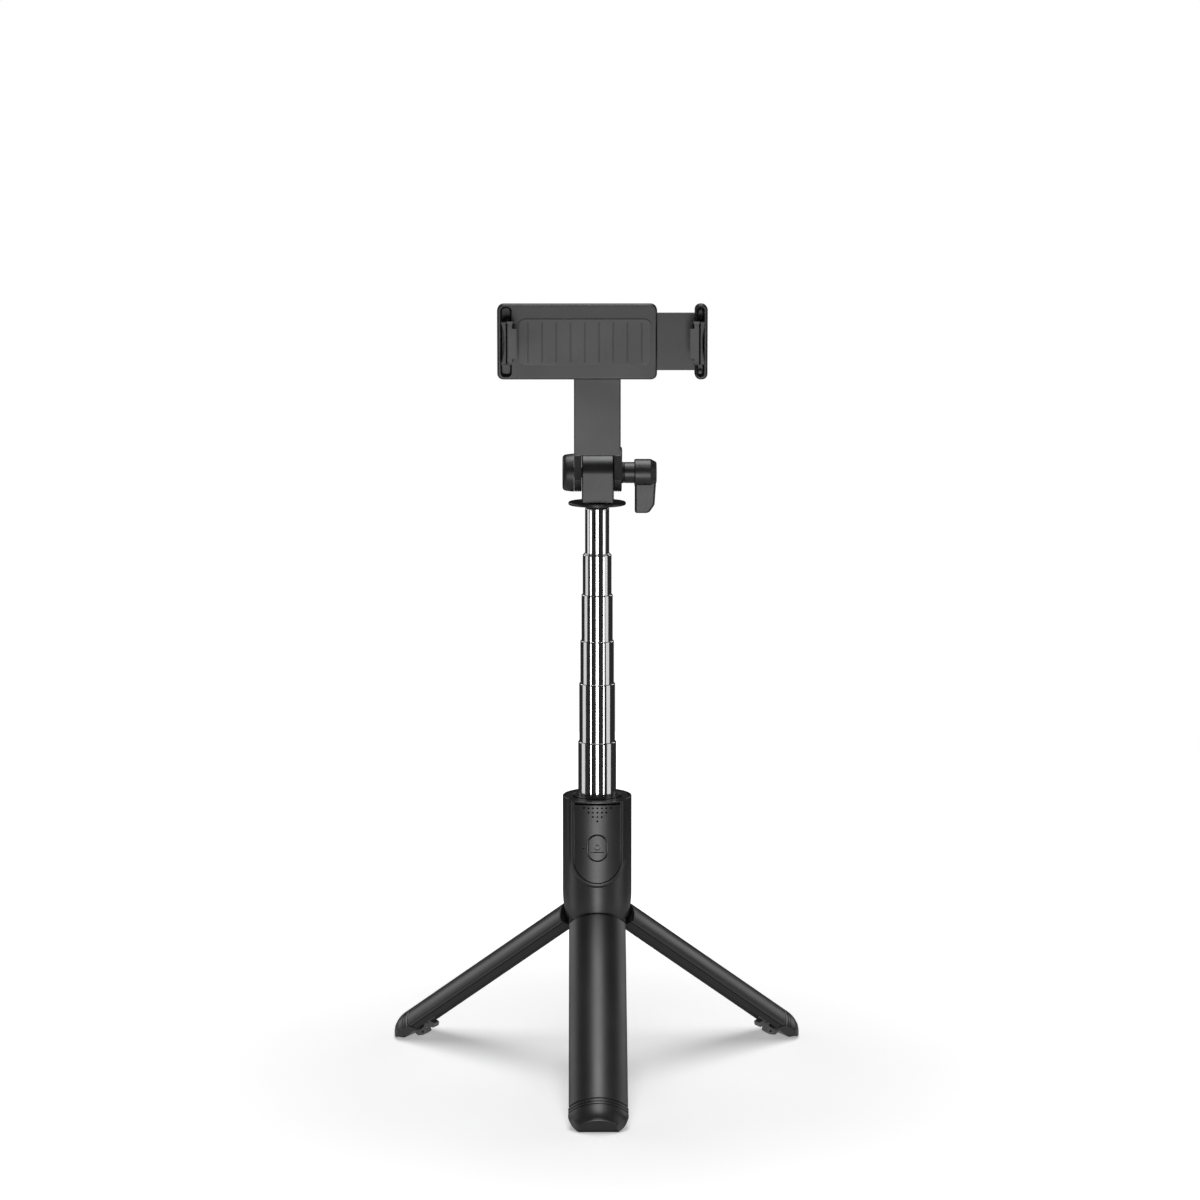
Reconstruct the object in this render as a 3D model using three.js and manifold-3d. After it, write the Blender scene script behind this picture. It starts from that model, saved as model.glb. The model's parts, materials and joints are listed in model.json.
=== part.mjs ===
// Extendable selfie stick that stands on its own handle: three folding legs, a seven-part telescopic
// pole, a tilting head with a spring phone clamp, and a small remote that clips into the hub.
// Units are millimetres, +Z is up and the front of the stick faces -Y.
import * as THREE from "three";
import { mergeVertices } from "three/addons/utils/BufferGeometryUtils.js";
import Module from "manifold-3d";

const wasm = await Module();
wasm.setup();

// ---- driving dimensions -------------------------------------------------------------------------

const GAP = 0.3; // clearance between pieces that touch
const POLE_Y = 20.5; // the pole stands behind the middle of the footprint

const HUB_R = 14.1;
const HUB_WALL = 1.2;
const HUB_BORE_R = 8.75;
const HUB_BOTTOM = 63.4;
const HUB_FLOOR = 76; // the hub is hollow below this height, for the leg hinges
const HUB_TOP = 113.6;
const SKIRT_WALL = 0.8; // the skirt is thinner than the rest, and rounds in towards the legs
const SKIRT_TAPER = [[1.15, 0], [0.5, 3.4], [0.12, 6.8], [0, 10.4]]; // [inwards, upwards] steps
const ARCH_HALF = 9.4; // the skirt's arch over a leg, and the notch in the middle of it
const ARCH_HEIGHT = 1.9;
const NOTCH_HEIGHT = 3.1;
const NOTCH_SIDE_GAP = 0.25;
const BRACKET_R = 12;
const CAP_RECESS_R = 13.2;
const CAP_THICKNESS = 2;
const CAP_HOLE_R = 9.9;
const CAP_SLOT_X = 9.2;
const CAP_SLOT_Y = -6.6;
const CAP_SLOT_SIZE = [2.4, 1];

const LEG_COUNT = 3;
const LEG_NAMES = ["front", "right", "left"];
const SPLAY = THREE.MathUtils.degToRad(54);
const PIVOT_R = 10.4; // hinge pins lie this far from the pole's axis
const PIVOT_Z = 65.6;
const LEG_HALF_ANGLE = THREE.MathUtils.degToRad(57.3);
const LEG_OUTER_R = 13.95;
const LEG_SHELL_WALL = 2;
const LEG_TOP = 2.4; // distances along a leg are measured down from its pin
const LEG_SHELL_END = 95.3;
const LINER_OUTER_R = 11.65;
const LINER_INNER_R = 8.3;
const LINER_WALL = 1.2;
const FOOT_END = 113;
const FOOT_REACH = 97.6; // from the pole's axis to the end of a foot
const FOOT_NOSE_R = 8.5; // the round that closes the end, seen from the side
const FOOT_PLAN_R = 13; // the same, seen from above
const FOOT_CHAMFER = 1.2;
const FOOT_CUT = 40; // the shapes that trim a foot reach this far back from its end
const CLIP_HALF = 2;
const KNUCKLE_WIDTH = 7;
const KNUCKLE_R = 2.1;
const CHANNEL_START = 8; // the liner is solid for this far from its top
const LINER_EDGE = 0.12; // half angle that the liner's side walls take, in radians
const PIN_R = 0.8;
const PIN_LENGTH = 9.6;
const PIN_HOLE_R = 1.1;
const EAR_R = 2.2;
const EAR_WIDTH = 1.5;

const TUBE_COUNT = 7; // tube 1 is the thinnest and carries the head
const TUBE_WALL = 0.3;
const TUBE_STEP = 0.48; // difference in outer radius between neighbours
const TUBE_LARGEST_R = 7.775;
const TUBE_TOPS = [231.7, 213.3, 212.8, 196.4, 177.5, 159.9, 135.9];
const TUBE_LONGEST = 98;
const TUBE_SHORTEN = 2.5; // each tube is shorter than the one that holds it
const GROOVE_HALF = 2.6;
const GROOVE_FLOOR_HALF = 2;
const GROOVE_DEPTH = 0.45;
const TUBE_SEGMENTS = 16;
const BUSH_HEIGHT = 2.2;
const BUSH_PROUD = 0.1;
const SLEEVE_CLEARANCE = 0.155;
const SLEEVE_R = 8.45;
const SLEEVE_BOTTOM = 68.5;
const SLEEVE_FLANGE_R = 9.3;
const SLEEVE_FLANGE_THICKNESS = 2.1;

const FACE_R = 25.6; // the remote and the rim round it share one face, flatter than the hub
const FACE_FRONT_Y = -15.4;
const RIM_WIDTH = 0.9;
const POCKET_HALF = 9.6;
const POCKET_FLOOR_Y = -9.4;
const POCKET_TOP = 112.9;
const REMOTE_HALF = POCKET_HALF - GAP;
const REMOTE_BACK_Y = POCKET_FLOOR_Y - GAP;
const REMOTE_ROUND_Z = 89.15; // centre of the pocket's round lower end
const REMOTE_SKIN = 0.9;
const REMOTE_WALL = 1.2;
const BOARD_FRONT_Y = -12.4;
const BOARD_HALF = 5.5;
const BOARD_LOW = 92.5;
const BOARD_HIGH = 110;
const CELL_Z = 86.6;
const CELL_R = 5;
const CELL_THICKNESS = 2;
const BUTTON_Z = 94.5;
const BUTTON_HALF = 3.9;
const BUTTON_STRAIGHT = 2.8;

const TILT_Z = 246;
const POST_LEFT = -6.2;
const POST_RIGHT = 6.7;
const POST_R = 7.7;
const STEM_R = 3.1; // the post's stem goes down into the thinnest tube
const STEM_BOTTOM = 222;
const DISC_R = 11.65;
const DISC_BOTTOM = 232.95;
const DISC_TOP = 234.2;
const DISC_EDGE = 0.5;
const COLLAR_R = 5.2;
const BOLT_R = 2;
const BOLT_HOLE_R = 2.4;
const WASHER_DEPTH = 0.9;
const WASHER_R = 4.3;
const WASHER_THICKNESS = 0.6;
const CHEEK_LEFT = -9.3;
const CHEEK_RIGHT = 9.9;
const NUT_CAP_LEFT = -14;
const NUT_CORNER_R = 4.04;
const NUT_THICKNESS = 2.9;
const KNOB_NECK_R = 4.2;
const KNOB_LEFT = 15;
const KNOB_RIGHT = 24;
const KNOB_REACH = 16.3;
const KNOB_R = 5.5;
const WING_HALF = 2.4;

const ARM_BACK_Y = -14.6;
const ARM_FRONT_Y = -17.5;
const ARM_HALF = 9.3;
const BRIDGE_LOW = 8.4; // above the tilt axis
const BRIDGE_HIGH = 11.2;
const SWIVEL_Z = 300.4;
const SWIVEL_R = 2.2;
const SCREW_HEAD_R = 4.4; // the swivel screw's head lies in a recess in the back of the arm
const SCREW_RECESS = 1.8;
const SWIVEL_WASHER_R = 7;

const CLAMP_HALF = 14.8;
const RECESS_HALF = 13.4; // the sunk ends of the clamp, from which the jaws stand
const RECESS_FLOOR_Y = -23;
const CLAMP_BACK_Y = -18.5;
const REAR_FRONT_Y = -20.8;
const COVER_BACK_Y = -24;
const COVER_FRONT_Y = -26.2;
const PHONE_BACK_Y = -27.2;
const PHONE_FRONT_Y = -35.3;
const JAW_FRONT_Y = -37;
const LIP_FRONT_Y = -37.3;
const BODY_RIGHT = 23.5;
const JAW_LEFT_OUTER = -39.5;
const JAW_LEFT_INNER = -33.8;
const JAW_RIGHT_INNER = 38.2;
const JAW_RIGHT_OUTER = 43.4;
const CORNER_R = 2.4;
const PAD_THICKNESS = 1.5;
const PAD_HALF = 8.15;
const LIP_HOOK = 2.2;
const SLIDER_SHOULDER = 8;
const SLIDER_END = -19;
const SPRING_Z = 8.4;
const SPRING_R = 1;
const SPRING_WIRE = 0.25;
const SPRING_TURNS = 10;
const SPRING_START = -31;
const POST_X = -32.4; // the posts that hold the springs' ends
const POST_PIN_R = 0.8;
const CHANNEL_LEFT = -33.6; // the slider's channel in the cover
const CHANNEL_HALF = 11.7;
const SLIDER_HALF = 11.3;
const TONGUE_HALF = 5.4;
const BACK_PAD = [-31, 21, 9, 2.5]; // left, right, half height, corner radius
const JAW_BOSS_X = 40.6;
const JAW_BOSS_HEIGHTS = [-11.8, 9.4, 12];
const JAW_BOSS_R = 0.85;

// ---- materials ----------------------------------------------------------------------------------

const finish = (color, roughness, metalness) => () =>
  new THREE.MeshStandardMaterial({ color, roughness, metalness });
const blackPlastic = finish(0x1f1f20, 0.45, 0);
const darkPlastic = finish(0x151516, 0.6, 0);
const greyPlastic = finish(0x3a3a3b, 0.5, 0);
const rubber = finish(0x202021, 0.85, 0);
const greyRubber = finish(0x5a5a5a, 0.8, 0);
const steel = finish(0xb4b4b6, 0.2, 1);
const zinc = finish(0x9a9a9c, 0.35, 1);
const nylon = finish(0xd8d8d4, 0.5, 0);
const circuit = finish(0x1d5a38, 0.5, 0);

// ---- solids -------------------------------------------------------------------------------------

// A closed geometry as a manifold, with shared corners merged and empty triangles dropped.
function solid(geometry) {
  const bare = geometry.index ? geometry.toNonIndexed() : geometry.clone();
  bare.deleteAttribute("normal");
  bare.deleteAttribute("uv");
  const merged = mergeVertices(bare, 1e-4);
  const index = merged.index.array;
  const kept = [];
  for (let i = 0; i < index.length; i += 3) {
    const [a, b, c] = [index[i], index[i + 1], index[i + 2]];
    if (a !== b && b !== c && c !== a) kept.push(a, b, c);
  }
  const vertProperties = merged.attributes.position.array;
  return new wasm.Manifold(new wasm.Mesh({ numProp: 3, vertProperties, triVerts: new Uint32Array(kept) }));
}

function geometryOf(manifold) {
  const mesh = manifold.getMesh();
  const geometry = new THREE.BufferGeometry();
  geometry.setAttribute("position", new THREE.BufferAttribute(Float32Array.from(mesh.vertProperties), 3));
  geometry.setIndex(new THREE.BufferAttribute(Uint32Array.from(mesh.triVerts), 1));
  geometry.computeVertexNormals();
  return geometry;
}

// A block between two corners.
function block(x0, x1, y0, y1, z0, z1) {
  const box = new THREE.BoxGeometry(x1 - x0, y1 - y0, z1 - z0);
  return solid(box.translate((x0 + x1) / 2, (y0 + y1) / 2, (z0 + z1) / 2));
}

// A round bar along z, from z0 to z1.
function rod(radius, z0, z1, segments = 20) {
  const bar = new THREE.CylinderGeometry(radius, radius, z1 - z0, segments);
  return solid(bar.rotateX(Math.PI / 2).translate(0, 0, (z0 + z1) / 2));
}

// A round bar along x at height z.
function rodX(radius, x0, x1, z = 0, segments = 16) {
  const bar = new THREE.CylinderGeometry(radius, radius, x1 - x0, segments);
  return solid(bar.rotateZ(Math.PI / 2).translate((x0 + x1) / 2, 0, z));
}

// A round bar along y at (x, z).
function rodY(radius, y0, y1, x, z, segments = 16) {
  const bar = new THREE.CylinderGeometry(radius, radius, y1 - y0, segments);
  return solid(bar.translate(x, (y0 + y1) / 2, z));
}

// A profile of [radius, height] pairs, listed anticlockwise and closed, turned about the z axis.
function turned(profile, segments = 36) {
  const points = [...profile, profile[0]].map(([r, z]) => new THREE.Vector2(r, z));
  return solid(new THREE.LatheGeometry(points, segments).rotateX(Math.PI / 2));
}

// The same, turned about the x axis, with heights read as positions along x.
function turnedX(profile, segments = 24) {
  const points = [...profile, profile[0]].map(([r, x]) => new THREE.Vector2(r, x));
  return solid(new THREE.LatheGeometry(points, segments).rotateZ(-Math.PI / 2));
}

// A shape drawn in (x, y) and raised from z0 to z1.
function raised(shape, z0, z1, curveSegments = 10) {
  const options = { depth: z1 - z0, bevelEnabled: false, curveSegments };
  return solid(new THREE.ExtrudeGeometry(shape, options).translate(0, 0, z0));
}

// A shape drawn in (x, z) and carried from y0 to y1.
function fromFront(shape, y0, y1, curveSegments = 8) {
  const options = { depth: y1 - y0, bevelEnabled: false, curveSegments };
  return solid(new THREE.ExtrudeGeometry(shape, options).rotateX(Math.PI / 2).translate(0, y1, 0));
}

// A shape drawn in (y, z) and carried from x0 to x1.
function fromSide(shape, x0, x1, curveSegments = 8) {
  const options = { depth: x1 - x0, bevelEnabled: false, curveSegments };
  const bar = new THREE.ExtrudeGeometry(shape, options);
  return solid(bar.rotateX(Math.PI / 2).rotateZ(Math.PI / 2).translate(x0, 0, 0));
}

function polygon(points) {
  return new THREE.Shape(points.map(([x, y]) => new THREE.Vector2(x, y)));
}

function roundedRectangle(x0, x1, y0, y1, r) {
  const shape = new THREE.Shape();
  shape.absarc(x1 - r, y0 + r, r, -Math.PI / 2, 0);
  shape.absarc(x1 - r, y1 - r, r, 0, Math.PI / 2);
  shape.absarc(x0 + r, y1 - r, r, Math.PI / 2, Math.PI);
  shape.absarc(x0 + r, y0 + r, r, Math.PI, Math.PI * 1.5);
  return shape;
}

const join = (first, ...others) => others.reduce((whole, next) => whole.add(next), first);
const cut = (first, ...others) => others.reduce((whole, next) => whole.subtract(next), first);
const turn = (manifold, degrees) => manifold.rotate([0, 0, degrees]);
const legTurns = LEG_NAMES.map((name, i) => (i * 360) / LEG_COUNT);

// ---- hub ----------------------------------------------------------------------------------------

// The front pocket and the remote share one outline: straight sides and a half-round lower end.
function pocketOutline(half, top) {
  const shape = new THREE.Shape();
  shape.moveTo(half, top);
  shape.lineTo(-half, top);
  shape.absarc(0, REMOTE_ROUND_Z, half, Math.PI, Math.PI * 2);
  return shape;
}

const pocketCut = () => fromFront(pocketOutline(POCKET_HALF, POCKET_TOP), -20, POCKET_FLOOR_Y);

// Everything behind the shared face, or behind a face that stands proud of it.
const behindFace = (proud = 0) => rod(FACE_R + proud, 60, 120, 100).translate([0, FACE_FRONT_Y + FACE_R, 0]);

function raisedRim() {
  const outline = pocketOutline(POCKET_HALF + RIM_WIDTH, HUB_TOP - 0.2);
  return fromFront(outline, -20, POCKET_FLOOR_Y - 0.1, 6).intersect(behindFace());
}

// The skirt rises in a low arch over each leg, with a notch for the leg's knuckle.
function skirtArch() {
  const notch = KNUCKLE_WIDTH / 2 + NOTCH_SIDE_GAP;
  const shoulder = ARCH_HALF / 2;
  const shape = new THREE.Shape();
  shape.moveTo(-ARCH_HALF, HUB_BOTTOM - 1);
  shape.lineTo(ARCH_HALF, HUB_BOTTOM - 1);
  shape.quadraticCurveTo(ARCH_HALF * 0.8, HUB_BOTTOM + ARCH_HEIGHT, shoulder, HUB_BOTTOM + ARCH_HEIGHT);
  shape.lineTo(notch, HUB_BOTTOM + ARCH_HEIGHT);
  shape.lineTo(notch, HUB_BOTTOM + NOTCH_HEIGHT);
  shape.lineTo(-notch, HUB_BOTTOM + NOTCH_HEIGHT);
  shape.lineTo(-notch, HUB_BOTTOM + ARCH_HEIGHT);
  shape.lineTo(-shoulder, HUB_BOTTOM + ARCH_HEIGHT);
  shape.quadraticCurveTo(-ARCH_HALF * 0.8, HUB_BOTTOM + ARCH_HEIGHT, -ARCH_HALF, HUB_BOTTOM - 1);
  return fromFront(shape, -HUB_R - 2, -4, 3);
}

function hubHousing() {
  const capFloor = HUB_TOP - CAP_THICKNESS - 2 * GAP + 0.1;
  const body = turned([
    [HUB_BORE_R, HUB_FLOOR],
    [HUB_R - HUB_WALL, HUB_FLOOR],
    [HUB_R - SKIRT_TAPER[1][0] - SKIRT_WALL, HUB_BOTTOM + SKIRT_TAPER[1][1]],
    [HUB_R - SKIRT_TAPER[0][0] - SKIRT_WALL, HUB_BOTTOM],
    ...SKIRT_TAPER.map(([inwards, upwards]) => [HUB_R - inwards, HUB_BOTTOM + upwards]),
    [HUB_R, HUB_TOP - 0.3],
    [HUB_R - 0.35, HUB_TOP],
    [CAP_RECESS_R, HUB_TOP],
    [CAP_RECESS_R, capFloor],
    [HUB_BORE_R, capFloor],
  ]);
  const capRoom = rod(CAP_RECESS_R, capFloor, HUB_TOP + 1, 36);
  return cut(join(body, raisedRim()), capRoom, pocketCut(), ...legTurns.map((a) => turn(skirtArch(), a)));
}

function hubTopCap() {
  const top = HUB_TOP - 0.2;
  const bottom = top - CAP_THICKNESS;
  const rim = CAP_RECESS_R - GAP;
  const ring = turned([
    [CAP_HOLE_R, bottom],
    [rim, bottom],
    [rim, top],
    [CAP_HOLE_R, top],
  ]);
  const remoteRoom = block(-20, 20, -20, POCKET_FLOOR_Y + GAP, bottom - 1, POCKET_TOP + 0.1);
  const [width, depth] = CAP_SLOT_SIZE;
  const slot = block(-width / 2, width / 2, -depth / 2, depth / 2, bottom - 1, top + 1);
  const slots = [-1, 1].map((side) => slot.translate([side * CAP_SLOT_X, CAP_SLOT_Y, 0]));
  return cut(ring, remoteRoom, ...slots);
}

function guideSleeve() {
  const inner = tubeOutline(TUBE_LARGEST_R + SLEEVE_CLEARANCE);
  const circle = new THREE.Shape().absarc(0, 0, SLEEVE_R, 0, Math.PI * 2);
  const flange = new THREE.Shape().absarc(0, 0, SLEEVE_FLANGE_R, 0, Math.PI * 2);
  const wall = raised(circle, SLEEVE_BOTTOM, HUB_TOP - 1, 14);
  const lip = raised(flange, HUB_TOP - 0.1 - SLEEVE_FLANGE_THICKNESS, HUB_TOP - 0.1, 14);
  return cut(join(wall, lip), raised(inner, SLEEVE_BOTTOM - 1, HUB_TOP + 1, TUBE_SEGMENTS));
}

// One ear of the bracket: it hangs from the ring and ends round about the hinge pin.
function bracketEar(x0) {
  const shape = new THREE.Shape();
  shape.moveTo(-PIVOT_R + EAR_R, PIVOT_Z + 4);
  shape.lineTo(-PIVOT_R - EAR_R, PIVOT_Z + 4);
  shape.absarc(-PIVOT_R, PIVOT_Z, EAR_R, Math.PI, Math.PI * 2);
  return fromSide(shape, x0, x0 + EAR_WIDTH, 5);
}

function hingePin(half = PIN_LENGTH / 2, radius = PIN_R) {
  return rodX(radius, -half, half, 0, 12).translate([0, -PIVOT_R, PIVOT_Z]);
}

function legBracket() {
  const ring = rod(BRACKET_R, PIVOT_Z + 2.7, HUB_FLOOR - GAP, 30);
  const start = KNUCKLE_WIDTH / 2 + GAP;
  const ears = legTurns.flatMap((a) => [turn(bracketEar(start), a), turn(bracketEar(-start - EAR_WIDTH), a)]);
  const holes = legTurns.map((a) => turn(hingePin(PIN_LENGTH / 2 + GAP, PIN_HOLE_R), a));
  const trimmed = join(ring, ...ears).intersect(rod(BRACKET_R, 0, HUB_TOP, 30));
  return cut(trimmed, rod(HUB_BORE_R, 0, HUB_TOP, 30), ...holes);
}

// ---- legs ---------------------------------------------------------------------------------------
// A leg is drawn folded: the pin at the origin, the leg hanging down -Z, its outside facing -Y.

// A ring sector about the pole's axis, open towards the back.
function sector(inner, outer, halfAngle) {
  const shape = new THREE.Shape();
  const from = -Math.PI / 2 - halfAngle;
  const to = -Math.PI / 2 + halfAngle;
  shape.absarc(0, PIVOT_R, outer, from, to, false);
  shape.absarc(0, PIVOT_R, inner, to, from, true);
  return shape;
}

function legShell() {
  const inner = LEG_OUTER_R - LEG_SHELL_WALL;
  return raised(sector(inner, LEG_OUTER_R, LEG_HALF_ANGLE), -LEG_SHELL_END, -LEG_TOP, 9);
}

function legLiner() {
  const top = -LEG_TOP - 0.4;
  const halfAngle = LEG_HALF_ANGLE - 0.005;
  const channel = LEG_HALF_ANGLE - LINER_EDGE;
  const whole = raised(sector(LINER_INNER_R, LINER_OUTER_R, halfAngle), -LEG_SHELL_END, top, 7);
  const trough = sector(LINER_INNER_R + LINER_WALL, LINER_OUTER_R + 1, channel);
  const hollow = raised(trough, -LEG_SHELL_END - 1, top - CHANNEL_START, 7);
  const half = KNUCKLE_WIDTH / 2;
  const knuckle = new THREE.Shape();
  knuckle.absarc(0, 0, KNUCKLE_R, 0, Math.PI * 1.2);
  knuckle.lineTo(-0.6, -LEG_TOP + 0.1);
  knuckle.lineTo(-0.6, -6);
  knuckle.lineTo(KNUCKLE_R, -6);
  const pinHole = rodX(PIN_HOLE_R, -half - 1, half + 1, 0, 12);
  return cut(join(cut(whole, hollow), fromSide(knuckle, -half, half, 5)), pinHole);
}

// A solid given in the standing pose, turned back into the leg's own folded frame.
function intoLegFrame(manifold) {
  return manifold.translate([0, PIVOT_R, -PIVOT_Z]).rotate([THREE.MathUtils.radToDeg(SPLAY), 0, 0]);
}

// Seen from outside, the foot narrows in two large rounds to a flat that stands on the ground.
function footOutline() {
  const shape = new THREE.Shape();
  shape.moveTo(-6.6, 0);
  shape.lineTo(6.6, 0);
  shape.bezierCurveTo(9.4, 0.2, 11.6, 3.6, 12.2, 8.4);
  shape.lineTo(12.2, 24);
  shape.lineTo(-12.2, 24);
  shape.lineTo(-12.2, 8.4);
  shape.bezierCurveTo(-11.6, 3.6, -9.4, 0.2, -6.6, 0);
  return shape;
}

// Seen from the side, the top of the foot runs straight and then rounds down to the ground. The
// round touches both the leg's top line and the upright line at the end of the foot.
function footProfile() {
  const topEdge = LEG_OUTER_R - PIVOT_R;
  const groundReach = PIVOT_R + PIVOT_Z * Math.tan(SPLAY) + topEdge / Math.cos(SPLAY);
  const centre = FOOT_REACH - FOOT_NOSE_R;
  const height = ((groundReach - centre) * Math.cos(SPLAY) - FOOT_NOSE_R) / Math.sin(SPLAY);
  const shape = new THREE.Shape();
  shape.moveTo(-FOOT_REACH + FOOT_CHAMFER, 0);
  shape.lineTo(-FOOT_REACH + FOOT_CUT, 0);
  shape.lineTo(-FOOT_REACH + FOOT_CUT, (groundReach - FOOT_REACH + FOOT_CUT) / Math.tan(SPLAY));
  shape.absarc(-centre, height, FOOT_NOSE_R, Math.PI - SPLAY, Math.PI, false);
  return shape;
}

function footPlan() {
  const shape = new THREE.Shape();
  shape.moveTo(FOOT_PLAN_R, -FOOT_REACH + FOOT_CUT);
  shape.lineTo(-FOOT_PLAN_R, -FOOT_REACH + FOOT_CUT);
  shape.absarc(0, -FOOT_REACH + FOOT_PLAN_R, FOOT_PLAN_R, Math.PI, Math.PI * 2, false);
  return shape;
}

// The foot fills the leg's section: the same outside, closed by a straight line across the hollow.
function footSection() {
  const half = LINER_INNER_R * Math.sin(LEG_HALF_ANGLE);
  const depth = PIVOT_R - LINER_INNER_R * Math.cos(LEG_HALF_ANGLE);
  const shape = new THREE.Shape();
  shape.absarc(0, PIVOT_R, LEG_OUTER_R, -Math.PI / 2 - LEG_HALF_ANGLE, -Math.PI / 2 + LEG_HALF_ANGLE, false);
  shape.lineTo(half, depth);
  shape.lineTo(-half, depth);
  return shape;
}

function legFoot() {
  const whole = raised(footSection(), -FOOT_END, -LEG_SHELL_END - GAP, 9);
  const standing = fromFront(footOutline(), -FOOT_REACH - 1, -FOOT_REACH + FOOT_CUT, 5);
  const rounded = fromSide(footProfile(), -20, 20, 3).intersect(raised(footPlan(), -1, 40, 8));
  return whole.intersect(intoLegFrame(standing.intersect(rounded)));
}

// A small two-pronged hook under the end of each leg. It is drawn in (depth, height): it fills the
// hollow at the end of the liner and reaches back under the foot.
function legClip() {
  const start = PIVOT_R - LINER_INNER_R + GAP;
  const footFace = PIVOT_R - LINER_INNER_R * Math.cos(LEG_HALF_ANGLE) + GAP;
  const linerEnd = 0.3 - LEG_SHELL_END;
  const hook = polygon([
    [start, linerEnd],
    [start, -90],
    [6.2, -91.1],
    [7.6, -89.9],
    [8.8, -91.1],
    [7.4, -93.1],
    [6.4, -93.5],
    [6.9, -94.7],
    [8.9, -95.3],
    [8.9, -97.5],
    [7.9, -100.1],
    [footFace, -100.9],
    [footFace, linerEnd],
  ]);
  return fromSide(hook, -CLIP_HALF, CLIP_HALF);
}

// ---- telescopic pole ----------------------------------------------------------------------------

const tubeRadius = (number) => TUBE_LARGEST_R - (TUBE_COUNT - number) * TUBE_STEP;
const tubeTop = (number) => TUBE_TOPS[number - 1];
const tubeBottom = (number) => tubeTop(number) - TUBE_LONGEST + (TUBE_COUNT - number) * TUBE_SHORTEN;

// Round, with a shallow groove down the front that keeps the tubes from turning in each other.
function tubeOutline(radius) {
  const edge = -Math.sqrt(radius ** 2 - GROOVE_HALF ** 2);
  const start = Math.atan2(edge, GROOVE_HALF);
  const shape = new THREE.Shape();
  shape.absarc(0, 0, radius, start, Math.PI - start, false);
  shape.lineTo(-GROOVE_FLOOR_HALF, edge + GROOVE_DEPTH);
  shape.lineTo(GROOVE_FLOOR_HALF, edge + GROOVE_DEPTH);
  return shape;
}

function ringBetween(outer, inner, z0, z1) {
  const hole = raised(tubeOutline(inner), z0 - 1, z1 + 1, TUBE_SEGMENTS);
  return cut(raised(tubeOutline(outer), z0, z1, TUBE_SEGMENTS), hole);
}

function tube(number) {
  const radius = tubeRadius(number);
  return ringBetween(radius, radius - TUBE_WALL, tubeBottom(number), tubeTop(number));
}

// The thinnest tube has a narrow slot down its front, just under the head.
function topTube() {
  const top = tubeTop(1) - 1.2;
  return cut(tube(1), block(-1.3, -0.7, -6, -2, top - 10.9, top));
}

// A thin plastic ring at the lower end of each tube, which guides it in the next one.
function tubeBush(number) {
  const radius = tubeRadius(number);
  const top = tubeBottom(number) - GAP;
  return ringBetween(radius + BUSH_PROUD, radius - TUBE_WALL, top - BUSH_HEIGHT, top);
}

// ---- tilt head ----------------------------------------------------------------------------------

function headPost() {
  const shape = new THREE.Shape();
  shape.moveTo(-POST_R, DISC_TOP + GAP);
  shape.lineTo(POST_R, DISC_TOP + GAP);
  shape.absarc(0, TILT_Z, POST_R, 0, Math.PI);
  const body = fromSide(shape, POST_LEFT, POST_RIGHT, 12);
  const recessLeft = rodX(WASHER_R + GAP, POST_LEFT - 1, POST_LEFT + WASHER_DEPTH, TILT_Z);
  const recessRight = rodX(WASHER_R + GAP, POST_RIGHT - WASHER_DEPTH, POST_RIGHT + 1, TILT_Z);
  const bore = rodX(BOLT_HOLE_R, POST_LEFT - 2, POST_RIGHT + 2, TILT_Z);
  const stem = rod(STEM_R, STEM_BOTTOM, DISC_TOP + 1);
  return cut(join(body, stem), recessLeft, recessRight, bore);
}

function headDisc() {
  const hole = STEM_R + GAP;
  return turned([
    [hole, DISC_BOTTOM],
    [DISC_R - DISC_EDGE, DISC_BOTTOM],
    [DISC_R, (DISC_BOTTOM + DISC_TOP) / 2],
    [DISC_R - DISC_EDGE, DISC_TOP],
    [hole, DISC_TOP],
  ]);
}

function tubeCollar() {
  const hole = STEM_R + GAP;
  const bottom = tubeTop(1) + 0.28;
  const top = DISC_BOTTOM - GAP;
  return turned([[hole, bottom], [COLLAR_R, bottom], [COLLAR_R, top], [hole, top]], 24);
}

function frictionWasher(x0) {
  const washer = rodX(WASHER_R, x0, x0 + WASHER_THICKNESS, TILT_Z);
  return cut(washer, rodX(BOLT_R + GAP, x0 - 1, x0 + 2, TILT_Z));
}

// Each cheek is round about the tilt axis and reaches forward to the bridge.
function cheek(x0, x1) {
  const round = rodX(POST_R, x0, x1, 0, 28);
  const arm = polygon([
    [-POST_R, -1.5],
    [ARM_FRONT_Y, BRIDGE_LOW],
    [ARM_FRONT_Y, BRIDGE_HIGH],
    [-8.6, BRIDGE_HIGH],
    [-2.4, POST_R - 0.5],
    [-2.4, 0],
  ]);
  return join(round, fromSide(arm, x0, x1)).translate([0, 0, TILT_Z]);
}

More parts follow.
